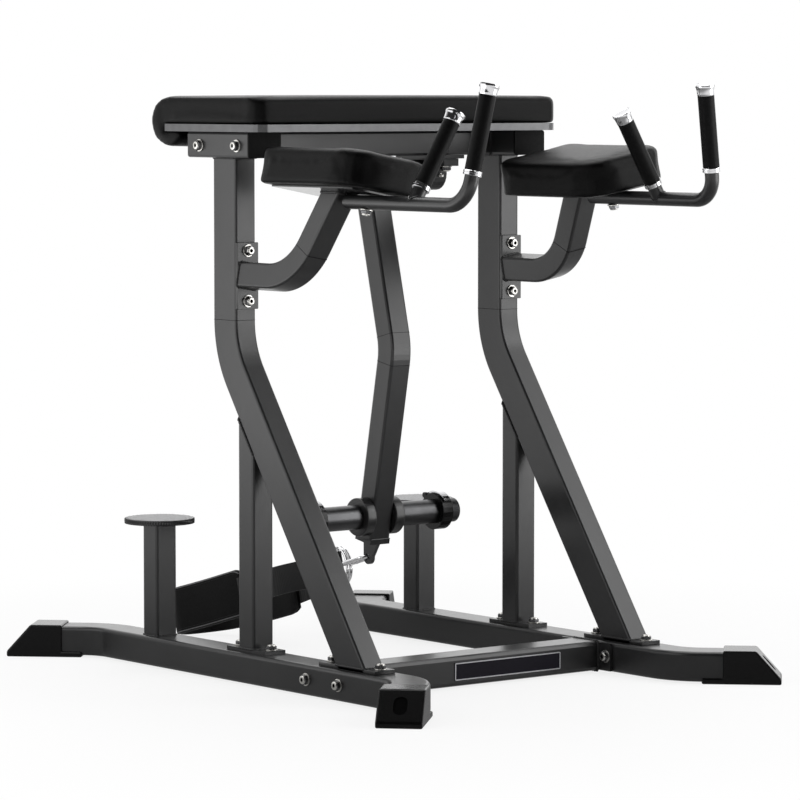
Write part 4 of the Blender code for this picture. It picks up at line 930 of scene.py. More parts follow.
def add_world():
    """White behind the machine; for reflections, bright towards the back and darker to the front."""
    world = bpy.data.worlds.new("studio")
    bpy.context.scene.world = world
    world.use_nodes = True
    tree = world.node_tree
    place = new_node(tree, "TexCoord").outputs["Generated"]
    backward = {0: place, 1: (math.sin(CAMERA_TURN), math.cos(CAMERA_TURN), 0)}
    back = new_node(tree, "VectorMath", backward, operation="DOT_PRODUCT").outputs["Value"]
    mirrored = smooth_span(tree, back, WORLD_REACH, (WORLD_FRONT, WORLD_BACK))
    ambient = tree.nodes["Background"]
    ambient.inputs["Color"].default_value = WHITE
    ambient.inputs["Strength"].default_value = WORLD_AMBIENT
    glossy = new_node(tree, "Background", {"Color": WHITE, "Strength": mirrored})
    seen = new_node(tree, "Background", {"Color": WHITE})
    rays = new_node(tree, "LightPath").outputs
    lit = mixed(tree, rays["Is Glossy Ray"], ambient.outputs["Background"], glossy.outputs["Background"])
    surface = mixed(tree, rays["Is Camera Ray"], lit, seen.outputs["Background"])
    tree.links.new(surface, tree.nodes["World Output"].inputs["Surface"])


def floor_material():
    """A pale floor that fades to white away from the machine and keeps its shadow.

    In reflections the floor is dim round the machine and white far away."""
    material = bpy.data.materials.new("pale_floor")
    material.use_nodes = True
    tree = material.node_tree
    shader = tree.nodes["Principled BSDF"]
    shader.inputs["Base Color"].default_value = FLOOR_COLOUR
    shader.inputs["Roughness"].default_value = 0.7
    shader.inputs["Specular IOR Level"].default_value = 0.2
    place = new_node(tree, "TexCoord").outputs["Object"]
    distance = new_node(tree, "VectorMath", {0: place}, operation="LENGTH").outputs["Value"]
    rays = new_node(tree, "LightPath").outputs
    faded = {0: smooth_span(tree, distance, FLOOR_FADE, FLOOR_WHITE), 1: rays["Is Camera Ray"]}
    seen = new_node(tree, "Math", faded, operation="MULTIPLY").outputs["Value"]
    white = new_node(tree, "Emission", {"Color": WHITE}).outputs["Emission"]
    plain = mixed(tree, seen, shader.outputs["BSDF"], white)
    level = smooth_span(tree, distance, FLOOR_GLOSS_FADE, FLOOR_GLOSS)
    mirrored = new_node(tree, "Emission", {"Strength": level}).outputs["Emission"]
    surface = mixed(tree, rays["Is Glossy Ray"], plain, mirrored)
    tree.links.new(surface, tree.nodes["Material Output"].inputs["Surface"])
    return material


def add_floor():
    half = FLOOR_HALF
    verts = [(-half, -half, 0), (half, -half, 0), (half, half, 0), (-half, half, 0)]
    floor = add_mesh("floor", verts, [(0, 1, 2, 3)], [floor_material()], smooth=False)


def add_lamps():
    area_lamp("left_card", (-1.6, 0.45, 1.0), (0.0, 0.3, 0.8), (2.6, 1.5), 18)
    area_lamp("front_card", (1.7, -2.1, 1.25), (0.0, 0.0, 0.7), (1.6, 2.5), 43)
    area_lamp("slant_card", (1.9, -1.05, 2.2), (0.0, -0.15, 0.4), (1.3, 1.3), 10)
    area_lamp("top_card", (0.2, 0.4, 3.2), (0.0, 0.0, 0.8), (2.4, 2.4), 66)


# Bent tubes

TUBE_CORNER = 0.005
RAIL_CORNER = 0.008
RAIL_BEND_RADIUS = 0.112
RAIL_INSET = 0.0542
POST_BEND_RADIUS = 0.1975
ELBOW_BEND_RADIUS = 0.125
BASE_PLATE = (0.177, 0.0075)
FLANGE = (0.132, 0.008)
PLATE_CORNER = 0.0012
PLATE_BEVEL = 0.0005
FLAT_GAP = 0.001
BEND_GAP = 0.002
LONG_STEP = 0.02


def beside(point, other, gap):
    """A point at a small gap from one point on the way to another."""
    return point + (other - point).normalized() * gap


def tube_section(width, height, corner):
    """A tube's outline, with two extra points on each flat so that its shading stays flat."""
    arcs = [Vector(point) for point in rounded_outline(width, height, corner)]
    points = []
    for index, point in enumerate(arcs):
        if index % 6 == 0:
            points.append(beside(point, arcs[index - 1], FLAT_GAP))
        points.append(point)
        if index % 6 == 5:
            points.append(beside(point, arcs[(index + 1) % len(arcs)], FLAT_GAP))
    return points


def bent_path(corners, radius):
    """A smooth line through the bends, with a close pair of points where each bend meets a straight."""
    points = filleted(corners, radius, 20)
    path = [points[0]]
    for before, point, after in zip(points, points[1:], points[2:]):
        if (point - before).length > LONG_STEP:
            path.append(beside(point, before, BEND_GAP))
        path.append(point)
        if (after - point).length > LONG_STEP:
            path.append(beside(point, after, BEND_GAP))
    path.append(points[-1])
    return path


def bent_tube(corners, radius, section, up, level=None):
    """A bent tube, whose last end may be cut level at a height."""
    path = bent_path(corners, radius)
    verts, faces = swept(path, section, up=up)
    if level is not None:
        heading = path[-1] - path[-2]
        for vertex in verts[-len(section):]:
            vertex += heading * ((level - vertex.z) / heading.z)
    return verts, faces


def welded_plate(middle, direction, size, up):
    """The flat plate at a tube's end, as wide as the tube."""
    length, thickness = size
    outline = rounded_outline(TUBE_WIDTH, length, PLATE_CORNER, 2)
    return prism(middle, direction, outline, thickness, PLATE_BEVEL, up)


def add_rail(word, side):
    section = tube_section(RAIL_WIDTH, 2 * (RAIL_TOP - RAIL_MIDDLE_Z), RAIL_CORNER)
    bends = [Vector((side * RAIL_X, end * RAIL_BEND_Y, RAIL_MIDDLE_Z)) for end in ENDS]
    tips = [bend + splay(side, end) * (CAP_REACH - RAIL_INSET) for bend, end in zip(bends, ENDS)]
    rail = bent_tube([tips[0], *bends, tips[1]], RAIL_BEND_RADIUS, section, Z_AXIS)
    add_piece("rail_tube_" + word, [rail], "powder_coat", "rail_" + word)


def add_post(word, side):
    """A bent post with the plate under its slanting foot."""
    low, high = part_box("bent_post_" + word)
    bend = Vector((side * RAIL_X, TOWER_Y, POST_BEND_Z))
    foot = bend - Vector((0, math.tan(POST_SLANT), 1)) * (bend.z - low.z)
    section = tube_section(TUBE_WIDTH, POST_DEPTH, TUBE_CORNER)
    corners = [Vector((bend.x, bend.y, high.z)), bend, foot]
    post = bent_tube(corners, POST_BEND_RADIUS, section, Y_AXIS, low.z)
    plate = welded_plate((bend.x, low.y + BASE_PLATE[0] / 2, low.z), Z_AXIS, BASE_PLATE, Y_AXIS)
    add_piece("post_tube_" + word, [post, plate], "powder_coat", "bent_post_" + word)


def add_elbow_arm(word, side):
    """An elbow rest's bent arm and its flange, which stays upright where the arm leans."""
    corner = Vector((0, ELBOW_BEND_Y, 0))
    corners = [(0, -FLANGE_FACE, 0), corner, corner + ELBOW_RISE * (ELBOW_ARM_TOP / ELBOW_RISE.z)]
    section = tube_section(TUBE_WIDTH, TUBE_WIDTH, TUBE_CORNER)
    arm = bent_tube(corners, ELBOW_BEND_RADIUS, section, Z_AXIS, ELBOW_ARM_TOP)
    flange = welded_plate((0, -FLANGE_FACE, 0), Y_AXIS, FLANGE, Z_AXIS)
    place = elbow_matrix(side)
    upright = place @ Matrix.Rotation(side * ELBOW_LEAN, 4, "Y")
    shapes = [moved(arm, place), moved(flange, upright)]
    add_piece("arm_tube_" + word, shapes, "powder_coat", "elbow_arm_" + word)


# Handles

BAR_RADIUS = 0.014
BAR_BEND_Y = -0.654
BAR_BEND_RADIUS = 0.052
BAR_TILT = math.radians(4.4)
UPRIGHT_TOP = 0.3625
INNER_HANDLE_Y = -0.497
INNER_HANDLE_LEAN = math.radians(20.6)
INNER_HANDLE_LENGTH = 0.178
BAR_START_Y = -0.2945
GRIP_LENGTHS = {"front": 0.142, "inner": 0.137}
GRIP_RADIUS = 0.0164
COLLAR_GAP = 0.0003
COLLAR_WIDTH = 0.0095
COLLAR_RADIUS = 0.0179
HANDLE_BEAD_RADIUS = 0.0022

# The flared plug in a handle's end, with a rim and a shallow dish, as (along, radius)
GRIP_PLUG = (
    (0.0003, 0), (0.0003, 0.0168), (0.0008, 0.0172), (0.005, 0.0173), (0.0095, 0.0177),
    (0.0125, 0.0181), (0.0148, 0.0187), (0.0164, 0.0194), (0.0172, 0.0196), (0.0208, 0.0196),
    (0.0218, 0.0191), (0.0220, 0.0182), (0.0212, 0.0168), (0.0208, 0.0120), (0.0207, 0),
)

# One end of a sleeve and the face of the grooved ring below it, as (along, change of radius)
GRIP_ROLL = ((0, -0.0004), (0.0015, 0), (0.006, -0.0001))
COLLAR_FACE = (
    (0, -0.0008), (0.0008, 0), (0.0042, 0), (0.0046, -0.0005), (0.0052, -0.0005), (0.0056, 0),
    (0.0087, 0), (0.0095, -0.0008),
)


def grip_profile(length):
    """A rubber sleeve with rolled ends, measured back from the handle's end."""
    bore = BAR_RADIUS + FIT
    low = [(along - length, GRIP_RADIUS + change) for along, change in GRIP_ROLL]
    high = [(-along, GRIP_RADIUS + change) for along, change in reversed(GRIP_ROLL)]
    return [(-length, bore), *low, *high, (0, bore)]


def collar_profile(length):
    """The ring below a sleeve, with a groove round its middle."""
    low = -length - COLLAR_GAP - COLLAR_WIDTH
    face = [(low + along, COLLAR_RADIUS + change) for along, change in COLLAR_FACE]
    return [(low, BAR_RADIUS), *face, (low + COLLAR_WIDTH, BAR_RADIUS)]


def saddle_path(foot, lean, along, radius, steps=48):
    """Where a bar that starts at foot on the axis of an equal bar comes out of its surface."""
    across, other = frame_towards(lean)
    points = []
    for k in range(steps):
        angle = 2 * math.pi * k / steps
        offset = (across * math.cos(angle) + other * math.sin(angle)) * radius
        aside = offset - along * offset.dot(along)
        flat = min(radius, (aside - lean * aside.dot(lean)).length)
        points.append(foot + offset + lean * math.sqrt(max(0.0, radius ** 2 - flat ** 2)))
    return points


def add_handles(word, side):
    """The bent bar and the inner handle with their weld, and a grip, a ring and a plug on each."""
    place = elbow_matrix(side)
    corner = Vector((0, BAR_BEND_Y, BAR_Z))
    top = Vector((0, BAR_BEND_Y - (UPRIGHT_TOP - BAR_Z) * math.tan(BAR_TILT), UPRIGHT_TOP))
    path = filleted([(0, BAR_START_Y, BAR_Z), corner, top], BAR_BEND_RADIUS)
    foot = Vector((0, INNER_HANDLE_Y, BAR_Z))
    lean = Vector((-side * math.sin(INNER_HANDLE_LEAN), 0, math.cos(INNER_HANDLE_LEAN)))
    inner_top = foot + lean * INNER_HANDLE_LENGTH
    shapes = [moved(swept(line, circle(BAR_RADIUS, 32)), place) for line in (path, [foot, inner_top])]
    add_piece("handle_tubes_" + word, shapes, "powder_coat", "handle_bar_" + word)
    bead = weld_bead(saddle_path(foot, lean, Y_AXIS, BAR_RADIUS), HANDLE_BEAD_RADIUS)
    add_piece("handle_weld_" + word, [moved(bead, place)], "weld")
    for kind, end, axis in (("front", top, (top - corner).normalized()), ("inner", inner_top, lean)):
        length = GRIP_LENGTHS[kind]
        for piece, node, profile, finish in (
            ("_sleeve_", "_grip_", grip_profile(length), "black_rubber"),
            ("_ring_", "_collar_", collar_profile(length), "chrome"),
            ("_plug_", "_cap_", GRIP_PLUG, "chrome"),
        ):
            shape = turned(place @ end, place.to_3x3() @ axis, profile)
            add_piece(kind + piece + word, [shape], finish, kind + node + word)


# Horn, collars, shaft and bearings

HORN_CHAMFER = 0.0015
DRILL_DEPTH = 0.003
DRILL_RADIUS = 0.004
DRILL_TIP = 0.0005
STOP_EDGE = 0.0022
SHAFT_HALF = 0.182
SHAFT_RADIUS = 0.0125
SHAFT_CHAMFER = 0.001
INSERT_X = 0.0165
NIPPLE_AT = Vector((0, -0.0335, -0.004))
NIPPLE_HEADING = (0, -1, -0.12)

# Turned profiles of (along, radius)
BEARING_RACE = (
    (0, 0.0128), (0, 0.0265), (0.0012, 0.0265), (0.0016, 0.0250), (0.0012, 0.0215),
    (0.0012, 0.0195), (0.0042, 0.0190), (0.0050, 0.0180), (0.0050, 0.0128),
)
NIPPLE = (
    (0, 0), (0, 0.004), (0.003, 0.004), (0.0035, 0.0025), (0.006, 0.0022), (0.0075, 0.0032),
    (0.009, 0.0022), (0.009, 0),
)


def horn_profile():
    """The round bar with a chamfered, centre-drilled end."""
    profile = [(HORN_ROOT, 0), (HORN_ROOT, HORN_RADIUS), (HORN_END - HORN_CHAMFER, HORN_RADIUS)]
    profile += [(HORN_END, HORN_RADIUS - HORN_CHAMFER), (HORN_END, DRILL_RADIUS)]
    return profile + [(HORN_END - DRILL_DEPTH, DRILL_TIP), (HORN_END - DRILL_DEPTH, 0)]


def stop_profile():
    outer = HORN_ROOT + STOP_WIDTH
    bore = HORN_RADIUS + FIT
    profile = [(HORN_ROOT, bore), (HORN_ROOT, STOP_RADIUS), (outer, STOP_RADIUS), (outer, bore)]
    return softened(profile, STOP_EDGE, 4)


def add_horn(word, side):
    bar = turned(HORN, X_AXIS * side, horn_profile(), 64)
    stop = turned(HORN, X_AXIS * side, stop_profile(), 64)
    add_piece("horn_bar_" + word, [bar], "bright_steel", "weight_horn_" + word, body="pendulum")
    add_piece("horn_stop_" + word, [stop], "powder_coat", "stop_collar_" + word, body="pendulum")


def add_arm_end():
    """The thin plate that closes the pendulum's lower end, a little wider than the tube."""
    outline = rounded_outline(ARM_PLATE, ARM_PLATE, ARM_PLATE_CORNER)
    plate = prism(ARM_END, Z_AXIS, outline, ARM_PLATE_THICKNESS, 2 * FINE_BEVEL, Y_AXIS)
    add_piece("pendulum_end_plate", [plate], "powder_coat", body="pendulum")


def add_shaft():
    """The pivot shaft with chamfered ends."""
    edge = SHAFT_RADIUS - SHAFT_CHAMFER
    face = SHAFT_HALF - SHAFT_CHAMFER
    half = [(face, SHAFT_RADIUS), (SHAFT_HALF, edge), (SHAFT_HALF, 0)]
    profile = [(-along, radius) for along, radius in reversed(half)] + half
    shaft = turned(PIVOT, X_AXIS, profile, 40)
    add_piece("pivot_bar", [shaft], "bright_steel", "pivot_shaft", body="pendulum")


def add_bearing_details(word, side):
    """The insert's race on both sides of a pillow block, and its grease nipple."""
    middle = PIVOT + X_AXIS * side * BEARING_X
    races = [turned(middle + X_AXIS * end * INSERT_X, X_AXIS * end, BEARING_RACE, 40) for end in ENDS]
    add_piece("bearing_insert_" + word, races, "bright_steel")
    add_piece("grease_nipple_" + word, [turned(middle + NIPPLE_AT, NIPPLE_HEADING, NIPPLE, 18)], "zinc")


# Steps

TREAD_TEETH = 80
TREAD_TOOTH = 0.0024
TREAD_SLANT = math.radians(9.5)
TREAD_EDGE = 0.0012
TREAD_RISE = 0.0008
TREAD_FLAT = 0.0034
STUD_PITCH = 0.0062
STUD_MARGIN = 0.004
STUD_FOOT = 0.48 * math.sqrt(2)
STUD_TIP = 0.10


def knurled_disc(middle, low, high, radius):
    """A disc whose rim has slanting teeth all round."""
    sides = TREAD_TEETH * 4
    levels = [(low, -TREAD_EDGE), (low + TREAD_RISE, 0), (low + TREAD_FLAT, 0)]
    levels += [(high - TREAD_FLAT, 0), (high - TREAD_RISE, 0), (high, -TREAD_EDGE)]

    def rim(index):
        z, inset = levels[index]
        slant = (z - low) / (high - low) * TREAD_SLANT
        points = []
        for k in range(sides):
            angle = 2 * math.pi * k / sides
            tooth = 0.5 - 0.5 * math.cos(TREAD_TEETH * (angle + slant))
            out = radius + inset - TREAD_TOOTH * tooth
            points.append((out * math.cos(angle), out * math.sin(angle)))
        return points

    return swept([middle + Z_AXIS * z for z, _ in levels], rim, up=Y_AXIS)


def tread_studs(middle, low, high, radius):
    """Rows of small blunt pyramids over a disc."""
    studs = []
    reach = int(STEP_RADIUS / STUD_PITCH) + 2
    places = [(k + 0.5) * STUD_PITCH for k in range(-reach, reach + 1)]
    for u in places:
        for v in places:
            centre = Vector(((u - v) * math.sqrt(0.5), (u + v) * math.sqrt(0.5), 0))
            if centre.length > radius:
                continue
            verts = []
            for half, z in ((STUD_PITCH * STUD_FOOT, low), (STUD_PITCH * STUD_TIP, high)):
                for dx, dy in ((half, 0), (0, half), (-half, 0), (0, -half)):
                    verts.append(middle + centre + Vector((dx, dy, z)))
            studs.append((verts, [(4, 5, 6, 7), *row_faces(0, 4, 4)]))
    return joined(studs)


def add_step(word, side):
    """A disc with a knurled rim and rows of small pyramids on top."""
    middle = Vector((side * RAIL_X, STEP_POST_Y, 0))
    top = STEP_TOP_Z - TREAD_EDGE
    disc = knurled_disc(middle, STEP_TOP_Z - STEP_THICKNESS, top, STEP_RADIUS)
    studs = tread_studs(middle, top, STEP_TOP_Z, STEP_RADIUS - STUD_MARGIN)
    add_piece("step_disc_" + word, [disc], "powder_coat", "step_plate_" + word)
    # The studs carry the lighter tread coat, a painted reflection on the step tops.
    add_piece("step_tread_" + word, [studs], "tread", slot="powder_coat")


# Name plate

NAME_PLATE_THICKNESS = 0.0010
NAME_PLATE_CORNER = 0.002
RIM_INSET = 0.0030
RIM_CORNER = 0.0012
RIM_SINK = 0.0003
RIM_SECTION = ((-0.0011, -0.0006), (0.0011, -0.0006), (0.0011, 0.0003), (-0.0011, 0.0003))


def add_name_plate():
    """The blank plate: a dark field inside a raised light rim."""
    low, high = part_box("name_plate")
    middle = (low + high) / 2
    width = high.x - low.x
    height = high.z - low.z
    back = (middle.x, high.y, middle.z)
    outline = rounded_outline(width, height, NAME_PLATE_CORNER)
    base = prism(back, -Y_AXIS, outline, NAME_PLATE_THICKNESS, FINE_BEVEL, Z_AXIS)
    add_piece("name_plate_field", [base], "plate_face", "name_plate")
    outline = rounded_outline(width - RIM_INSET, height - RIM_INSET, RIM_CORNER)
    path = [(middle.x + x, low.y + RIM_SINK, middle.z + z) for x, z in outline]
    rim = swept(path, RIM_SECTION, closed=True, up=-Y_AXIS)
    add_piece("name_plate_rim", [rim], "plate_rim")


# Seams and welds

SEAM_LIFT = 0.0002
SEAM_RADIUS = 0.0004
ARM_SEAM = (0, -0.2030, 0.0538)
ARM_RETURN = math.radians(10.8)
POST_SEAM_Z = 0.7207
PENDULUM_SEAMS = (
    ((0, -0.0217, 0.6814), ARM_HEADING),
    ((0, -0.0231, 0.6247), (0, math.tan(ARM_RETURN), -1)),
)
BEAD_RADIUS = 0.0026
BEAD_SPACING = 0.0022
BEAD_SWELL = 0.16
BEAD_CHANCE = 0.07
BEAD_CUT = 0.004
SLEEVE_REACH = 0.036
SLEEVE_RADIUS = 0.028
TAB_TOP = (0, 0.0459, 0.2587)
TAB = (0.008, 0.048)
TAB_BEAD_RADIUS = 0.0018
ARM_WELD_Y = ELBOW_BEND_Y - 0.168 / math.tan(ELBOW_BEND)


def seam_line(middle, heading, depth=TUBE_WIDTH):
    """A hairline round a tube, where its bend ends."""
    heading = Vector(heading).normalized()
    rise = heading.cross(X_AXIS).normalized()
    outline = rounded_outline(TUBE_WIDTH + SEAM_LIFT, depth + SEAM_LIFT, TUBE_CORNER)
    path = [Vector(middle) + X_AXIS * x + rise * y for x, y in outline]
    return swept(path, circle(SEAM_RADIUS, 6), closed=True, up=heading)


def weld_bead(corners, radius=BEAD_RADIUS):
    """A rippled bead round a line of corners."""
    path = evenly(corners, BEAD_SPACING)
    rng = random.Random(len(path))
    ripples = [BEAD_SWELL * math.cos(2 * math.pi * k / 3) for k in range(len(path))]
    swell = [1 + ripple + rng.uniform(-BEAD_CHANCE, BEAD_CHANCE) for ripple in ripples]
    return swept(path, lambda index: circle(radius * swell[index], 8), closed=True)


def rectangle(middle, across, along, width=TUBE_WIDTH, length=TUBE_WIDTH):
    """The corners of a rectangle, each cut a little for a bead to turn."""
    corners = []
    for sx, sy in ((1, 1), (-1, 1), (-1, -1), (1, -1)):
        x = sx * width / 2
        y = sy * length / 2
        pair = [(x, y - sy * BEAD_CUT), (x - sx * BEAD_CUT, y)]
        if sx * sy < 0:
            pair.reverse()
        corners += [Vector(middle) + across * a + along * b for a, b in pair]
    return corners


def add_seams():
    """The faint lines where the bends of the elbow arms, the posts and the pendulum end."""
    for word, side in SIDES:
        seam = moved(seam_line(ARM_SEAM, ELBOW_RISE), elbow_matrix(side))
        add_piece("arm_seam_" + word, [seam], "shade_and_seam_black")
        seam = seam_line((side * RAIL_X, TOWER_Y, POST_SEAM_Z), Z_AXIS, POST_DEPTH)
        add_piece("post_seam_" + word, [seam], "shade_and_seam_black")
    seams = [seam_line(*seam) for seam in PENDULUM_SEAMS]
    add_piece("pendulum_seams", seams, "shade_and_seam_black", body="pendulum")


def post_mitre(x):
    """The middle of the joint of the rear post and the slanting post, and the way down the latter."""
    down = Vector((0, -math.sin(POST_SLANT), -math.cos(POST_SLANT)))
    back = Vector((0, math.cos(POST_SLANT), -math.sin(POST_SLANT)))
    reach = (TOWER_Y - REAR_POST_Y + POST_DEPTH / 2 * math.cos(POST_SLANT)) / math.sin(POST_SLANT)
    return Vector((x, TOWER_Y, POST_BEND_Z)) + back * POST_DEPTH / 2 + down * reach, down


def add_frame_welds(word, side):
    x = side * RAIL_X
    foot_y = TOWER_Y - (POST_BEND_Z - PLATE_TOP) * math.tan(POST_SLANT)
    mitre, down = post_mitre(x)
    level = (X_AXIS, Y_AXIS)
    beads = [
        rectangle((x, foot_y, PLATE_TOP), *level, TUBE_WIDTH, POST_DEPTH / math.cos(POST_SLANT)),
        rectangle((x, REAR_POST_Y, PLATE_TOP), *level),
        rectangle((x, STEP_POST_Y, RAIL_TOP), *level),
        rectangle((x, STEP_POST_Y, STEP_TOP_Z - STEP_THICKNESS), *level),
        rectangle(mitre, X_AXIS, down, TUBE_WIDTH, TUBE_WIDTH / math.sin(POST_SLANT)),
        rectangle((side * RAIL_INNER_X, CROSSBAR_Y, RAIL_MIDDLE_Z), Y_AXIS, Z_AXIS, *CROSSBAR),
        rectangle((side * CROSS_TUBE_X, TOWER_Y, CROSS_TUBE_Z), Y_AXIS, Z_AXIS),
        rectangle((x, TOWER_Y, BRACKET_FOOT_Z), *level, TUBE_WIDTH, POST_DEPTH),
    ]
    on_arm = [
        rectangle((0, -FLANGE_FACE, 0), X_AXIS, Z_AXIS),
        rectangle((0, ARM_WELD_Y, ELBOW_ARM_TOP), *level, TUBE_WIDTH, TUBE_WIDTH / math.sin(ELBOW_BEND)),
    ]
    shapes = [weld_bead(bead) for bead in beads]
    shapes += [moved(weld_bead(bead), elbow_matrix(side)) for bead in on_arm]
    add_piece("frame_welds_" + word, shapes, "weld")


def add_pendulum_welds():
    """The beads round the pendulum's tube under its sleeve and round the strap's tab."""
    across = X_AXIS.cross(ARM_HEADING)
    half = TUBE_WIDTH / 2
    sleeve = []
    for point in circle(SLEEVE_REACH, 40):
        dx, dy = (max(-half, min(half, value)) for value in point)
        drop = math.sqrt(max(0.0, SLEEVE_RADIUS ** 2 - dy ** 2))
        sleeve.append(PIVOT + X_AXIS * dx + across * dy + ARM_HEADING * drop)
    tab = rectangle(TAB_TOP, X_AXIS, Y_AXIS, *TAB)
    beads = [weld_bead(sleeve), weld_bead(tab, TAB_BEAD_RADIUS)]
    add_piece("pendulum_welds", beads, "weld", body="pendulum")


# Ankle strap, rings and snap link, in a frame that slopes down from the tab's hole

LINK_RADIUS = 0.0044
LINK_LENGTH = 0.084
LINK_WIDTH = 0.038
LINK_SLACK = 0.0012
RING_RADIUS = 0.0034
RING_HALF_HEIGHT = 0.0375
RING_REACH = 0.034
RING_X = 0.0045
RING_START = 0.06815
RING_FLAT_Y = RING_START + RING_REACH
RING_CORNER = 0.005
RING_SPACING = 0.0025
GATE_START = 0.004
GATE_STOP = 0.002
STRAP_REACH = 0.632
STRAP_FLOOR_GAP = 0.0012
STRAP_HALF = 0.067
STRAP_SPREAD_START = RING_FLAT_Y + 0.0045
STRAP_SPREAD_END = 0.240
STRAP_DRIFT = -0.020
STRAP_SAG_LEFT = 0.004
STRAP_SAG_RIGHT = 0.010
STRAP_RIPPLE = 0.0010
STRAP_SPACING = 0.005
PAD_THICKNESS = 0.018
PAD_HEIGHT = 0.100
PAD_START = 0.338
LINING_OFFSET = -0.0026
LINING_THICKNESS = 0.0128
LINING_EDGE = 0.006
COVER_OFFSET = 0.0058
COVER_THICKNESS = 0.0044
COVER_EDGE = 0.0018
COVER_HEIGHT = 0.0935
PIPING_OFFSET = 0.0070
PIPING_INSET = 0.0008
PIPING_RADIUS = 0.0013
STITCH_SPACING = 0.0042
STITCH_HALF = 0.0013
STITCH_OFFSET = 0.0079
STITCH_INSET = 0.0055
STITCH_RADIUS = 0.0004
STITCH_BOW = 0.0003
WEBBING_WIDTH = 0.060
WEBBING_LAYER = 0.0024
WEBBING_LIFT = 0.0017
WEBBING_CLIMB = 0.0078
WEBBING_RAMP = 0.035
WEBBING_EDGE = 0.0008
WEBBING_OVERLAP = 0.012
WEBBING_TAIL = 0.050
WEBBING_SPACING = 0.002
WRAP_RADIUS = 0.0043
WRAP_ANGLES = (21.6, 158.4)

# Turned profiles of (along, radius)
GATE_END = ((-0.0022, 0.0042), (-0.0018, 0.0046), (0.0018, 0.0046), (0.0022, 0.0042))
GATE_RIVET = (
    (-0.0049, 0), (-0.0049, 0.0014), (-0.0045, 0.0018), (0.0045, 0.0018), (0.0049, 0.0014), (0.0049, 0),
)


def strap_matrix():
    """The strap's frame, whose slope lets the pad's lower edge reach almost to the floor."""
    half = PAD_HEIGHT / 2
    drop = STRAP_START.z - STRAP_FLOOR_GAP
    slope = math.asin(drop / math.hypot(STRAP_REACH, half)) - math.atan2(half, STRAP_REACH)
    return Matrix.Translation(STRAP_START) @ Matrix.Rotation(-slope, 4, "X")


def on_strap(name, shapes, finish, node=None, slot=None):
    """A piece that swings with the strap, made of shapes in the strap's frame."""
    place = strap_matrix()
    return add_piece(name, [moved(shape, place) for shape in shapes], finish, node, slot, "strap")


def strap_line():
    """The middle line of the strap from one ring round the loop to the other."""
    start = STRAP_SPREAD_START
    rear = STRAP_REACH - PAD_THICKNESS / 2
    spread = []
    for k in range(25):
        share = k / 24
        ease = share * share * (3 - 2 * share)
        x = RING_X + (STRAP_HALF - RING_X) * ease
        spread.append(Vector((-x, start + (STRAP_SPREAD_END - start) * share, 0)))
    loop = [Vector((-math.cos(math.pi * k / 80), math.sin(math.pi * k / 80) - 1, 0)) for k in range(1, 80)]
    loop = [point * STRAP_HALF + Y_AXIS * rear for point in loop]
    mirrored = [Vector((-point.x, point.y, 0)) for point in reversed(spread)]
    drifted = []
    for point in evenly(spread + loop + mirrored, STRAP_SPACING, closed=False):
        share = max(0.0, (point.y - start) / (rear - start))
        ripple = STRAP_RIPPLE * math.sin(point.y * 31 + point.x * 17) * min(1.0, share * 3)
        deepest = STRAP_SAG_RIGHT if point.x > 0 else STRAP_SAG_LEFT
        sag = deepest * 4 * share * (1 - share)
        drifted.append(point + X_AXIS * (STRAP_DRIFT * share + ripple) - Z_AXIS * sag)
    return drifted


def end_ease(index, count, reach=5):
    """How full the pad is at a point of its line: 1, and less near both ends."""
    near = min(index, count - 1 - index) / reach
    return math.sin(math.pi / 2 * min(1.0, near + 0.12))


def tapered(height, index, count):
    """A layer's height at a point of the pad's line."""
    return height * (0.80 + 0.20 * end_ease(index, count))


def pad_layer(pad, offset, size, edge):
    """A soft layer along the pad's line. size gives its thickness and height at a point's number."""

    def section(index):
        thickness, height = size(index)
        outline = rounded_outline(thickness, height, min(edge, thickness * 0.48), 4)
        return [(x + offset, z) for x, z in outline]

    return swept(pad, section, up=Z_AXIS)


def add_pad(pad):
    count = len(pad)

    def lining_size(index):
        thickness = LINING_THICKNESS * (0.55 + 0.45 * end_ease(index, count, 3))
        return thickness, tapered(PAD_HEIGHT, index, count)

    def cover_size(index):
        return COVER_THICKNESS, tapered(COVER_HEIGHT, index, count)

    lining = pad_layer(pad, LINING_OFFSET, lining_size, LINING_EDGE)
    inner = on_strap("strap_lining", [lining], "lining", "ankle_strap", "black_webbing")
    cover = pad_layer(pad, COVER_OFFSET, cover_size, COVER_EDGE)
    outer = on_strap("strap_cover", [cover], "cover", slot="black_webbing")


def add_piping(pad):
    """The binding along both edges of the cover."""
    shapes = []
    for end in ENDS:
        path = []
        for index, point in enumerate(pad):
            rise = tapered(COVER_HEIGHT, index, len(pad)) / 2 - PIPING_INSET
            out = Z_AXIS.cross(ahead_at(pad, index))
            path.append(point + out * PIPING_OFFSET + Z_AXIS * end * rise)
        shapes.append(swept(path, circle(PIPING_RADIUS, 10), up=Z_AXIS))
    on_strap("strap_piping", shapes, "piping")


def add_stitches(pad):
    """Rows of short stitches along both edges of the cover."""
    shapes = []
    fine = evenly(pad, STITCH_SPACING, closed=False)
    for end in ENDS:
        for index in range(4, len(fine) - 4):
            ahead = ahead_at(fine, index)
            out = Z_AXIS.cross(ahead)
            on_pad = int(index / (len(fine) - 1) * (len(pad) - 1))
            rise = tapered(COVER_HEIGHT, on_pad, len(pad)) / 2 - STITCH_INSET
            middle = fine[index] + out * STITCH_OFFSET + Z_AXIS * end * rise
            path = [middle - ahead * STITCH_HALF, middle + out * STITCH_BOW, middle + ahead * STITCH_HALF]
            shapes.append(swept(path, circle(STITCH_RADIUS, 6)))
    on_strap("strap_stitches", shapes, "thread")


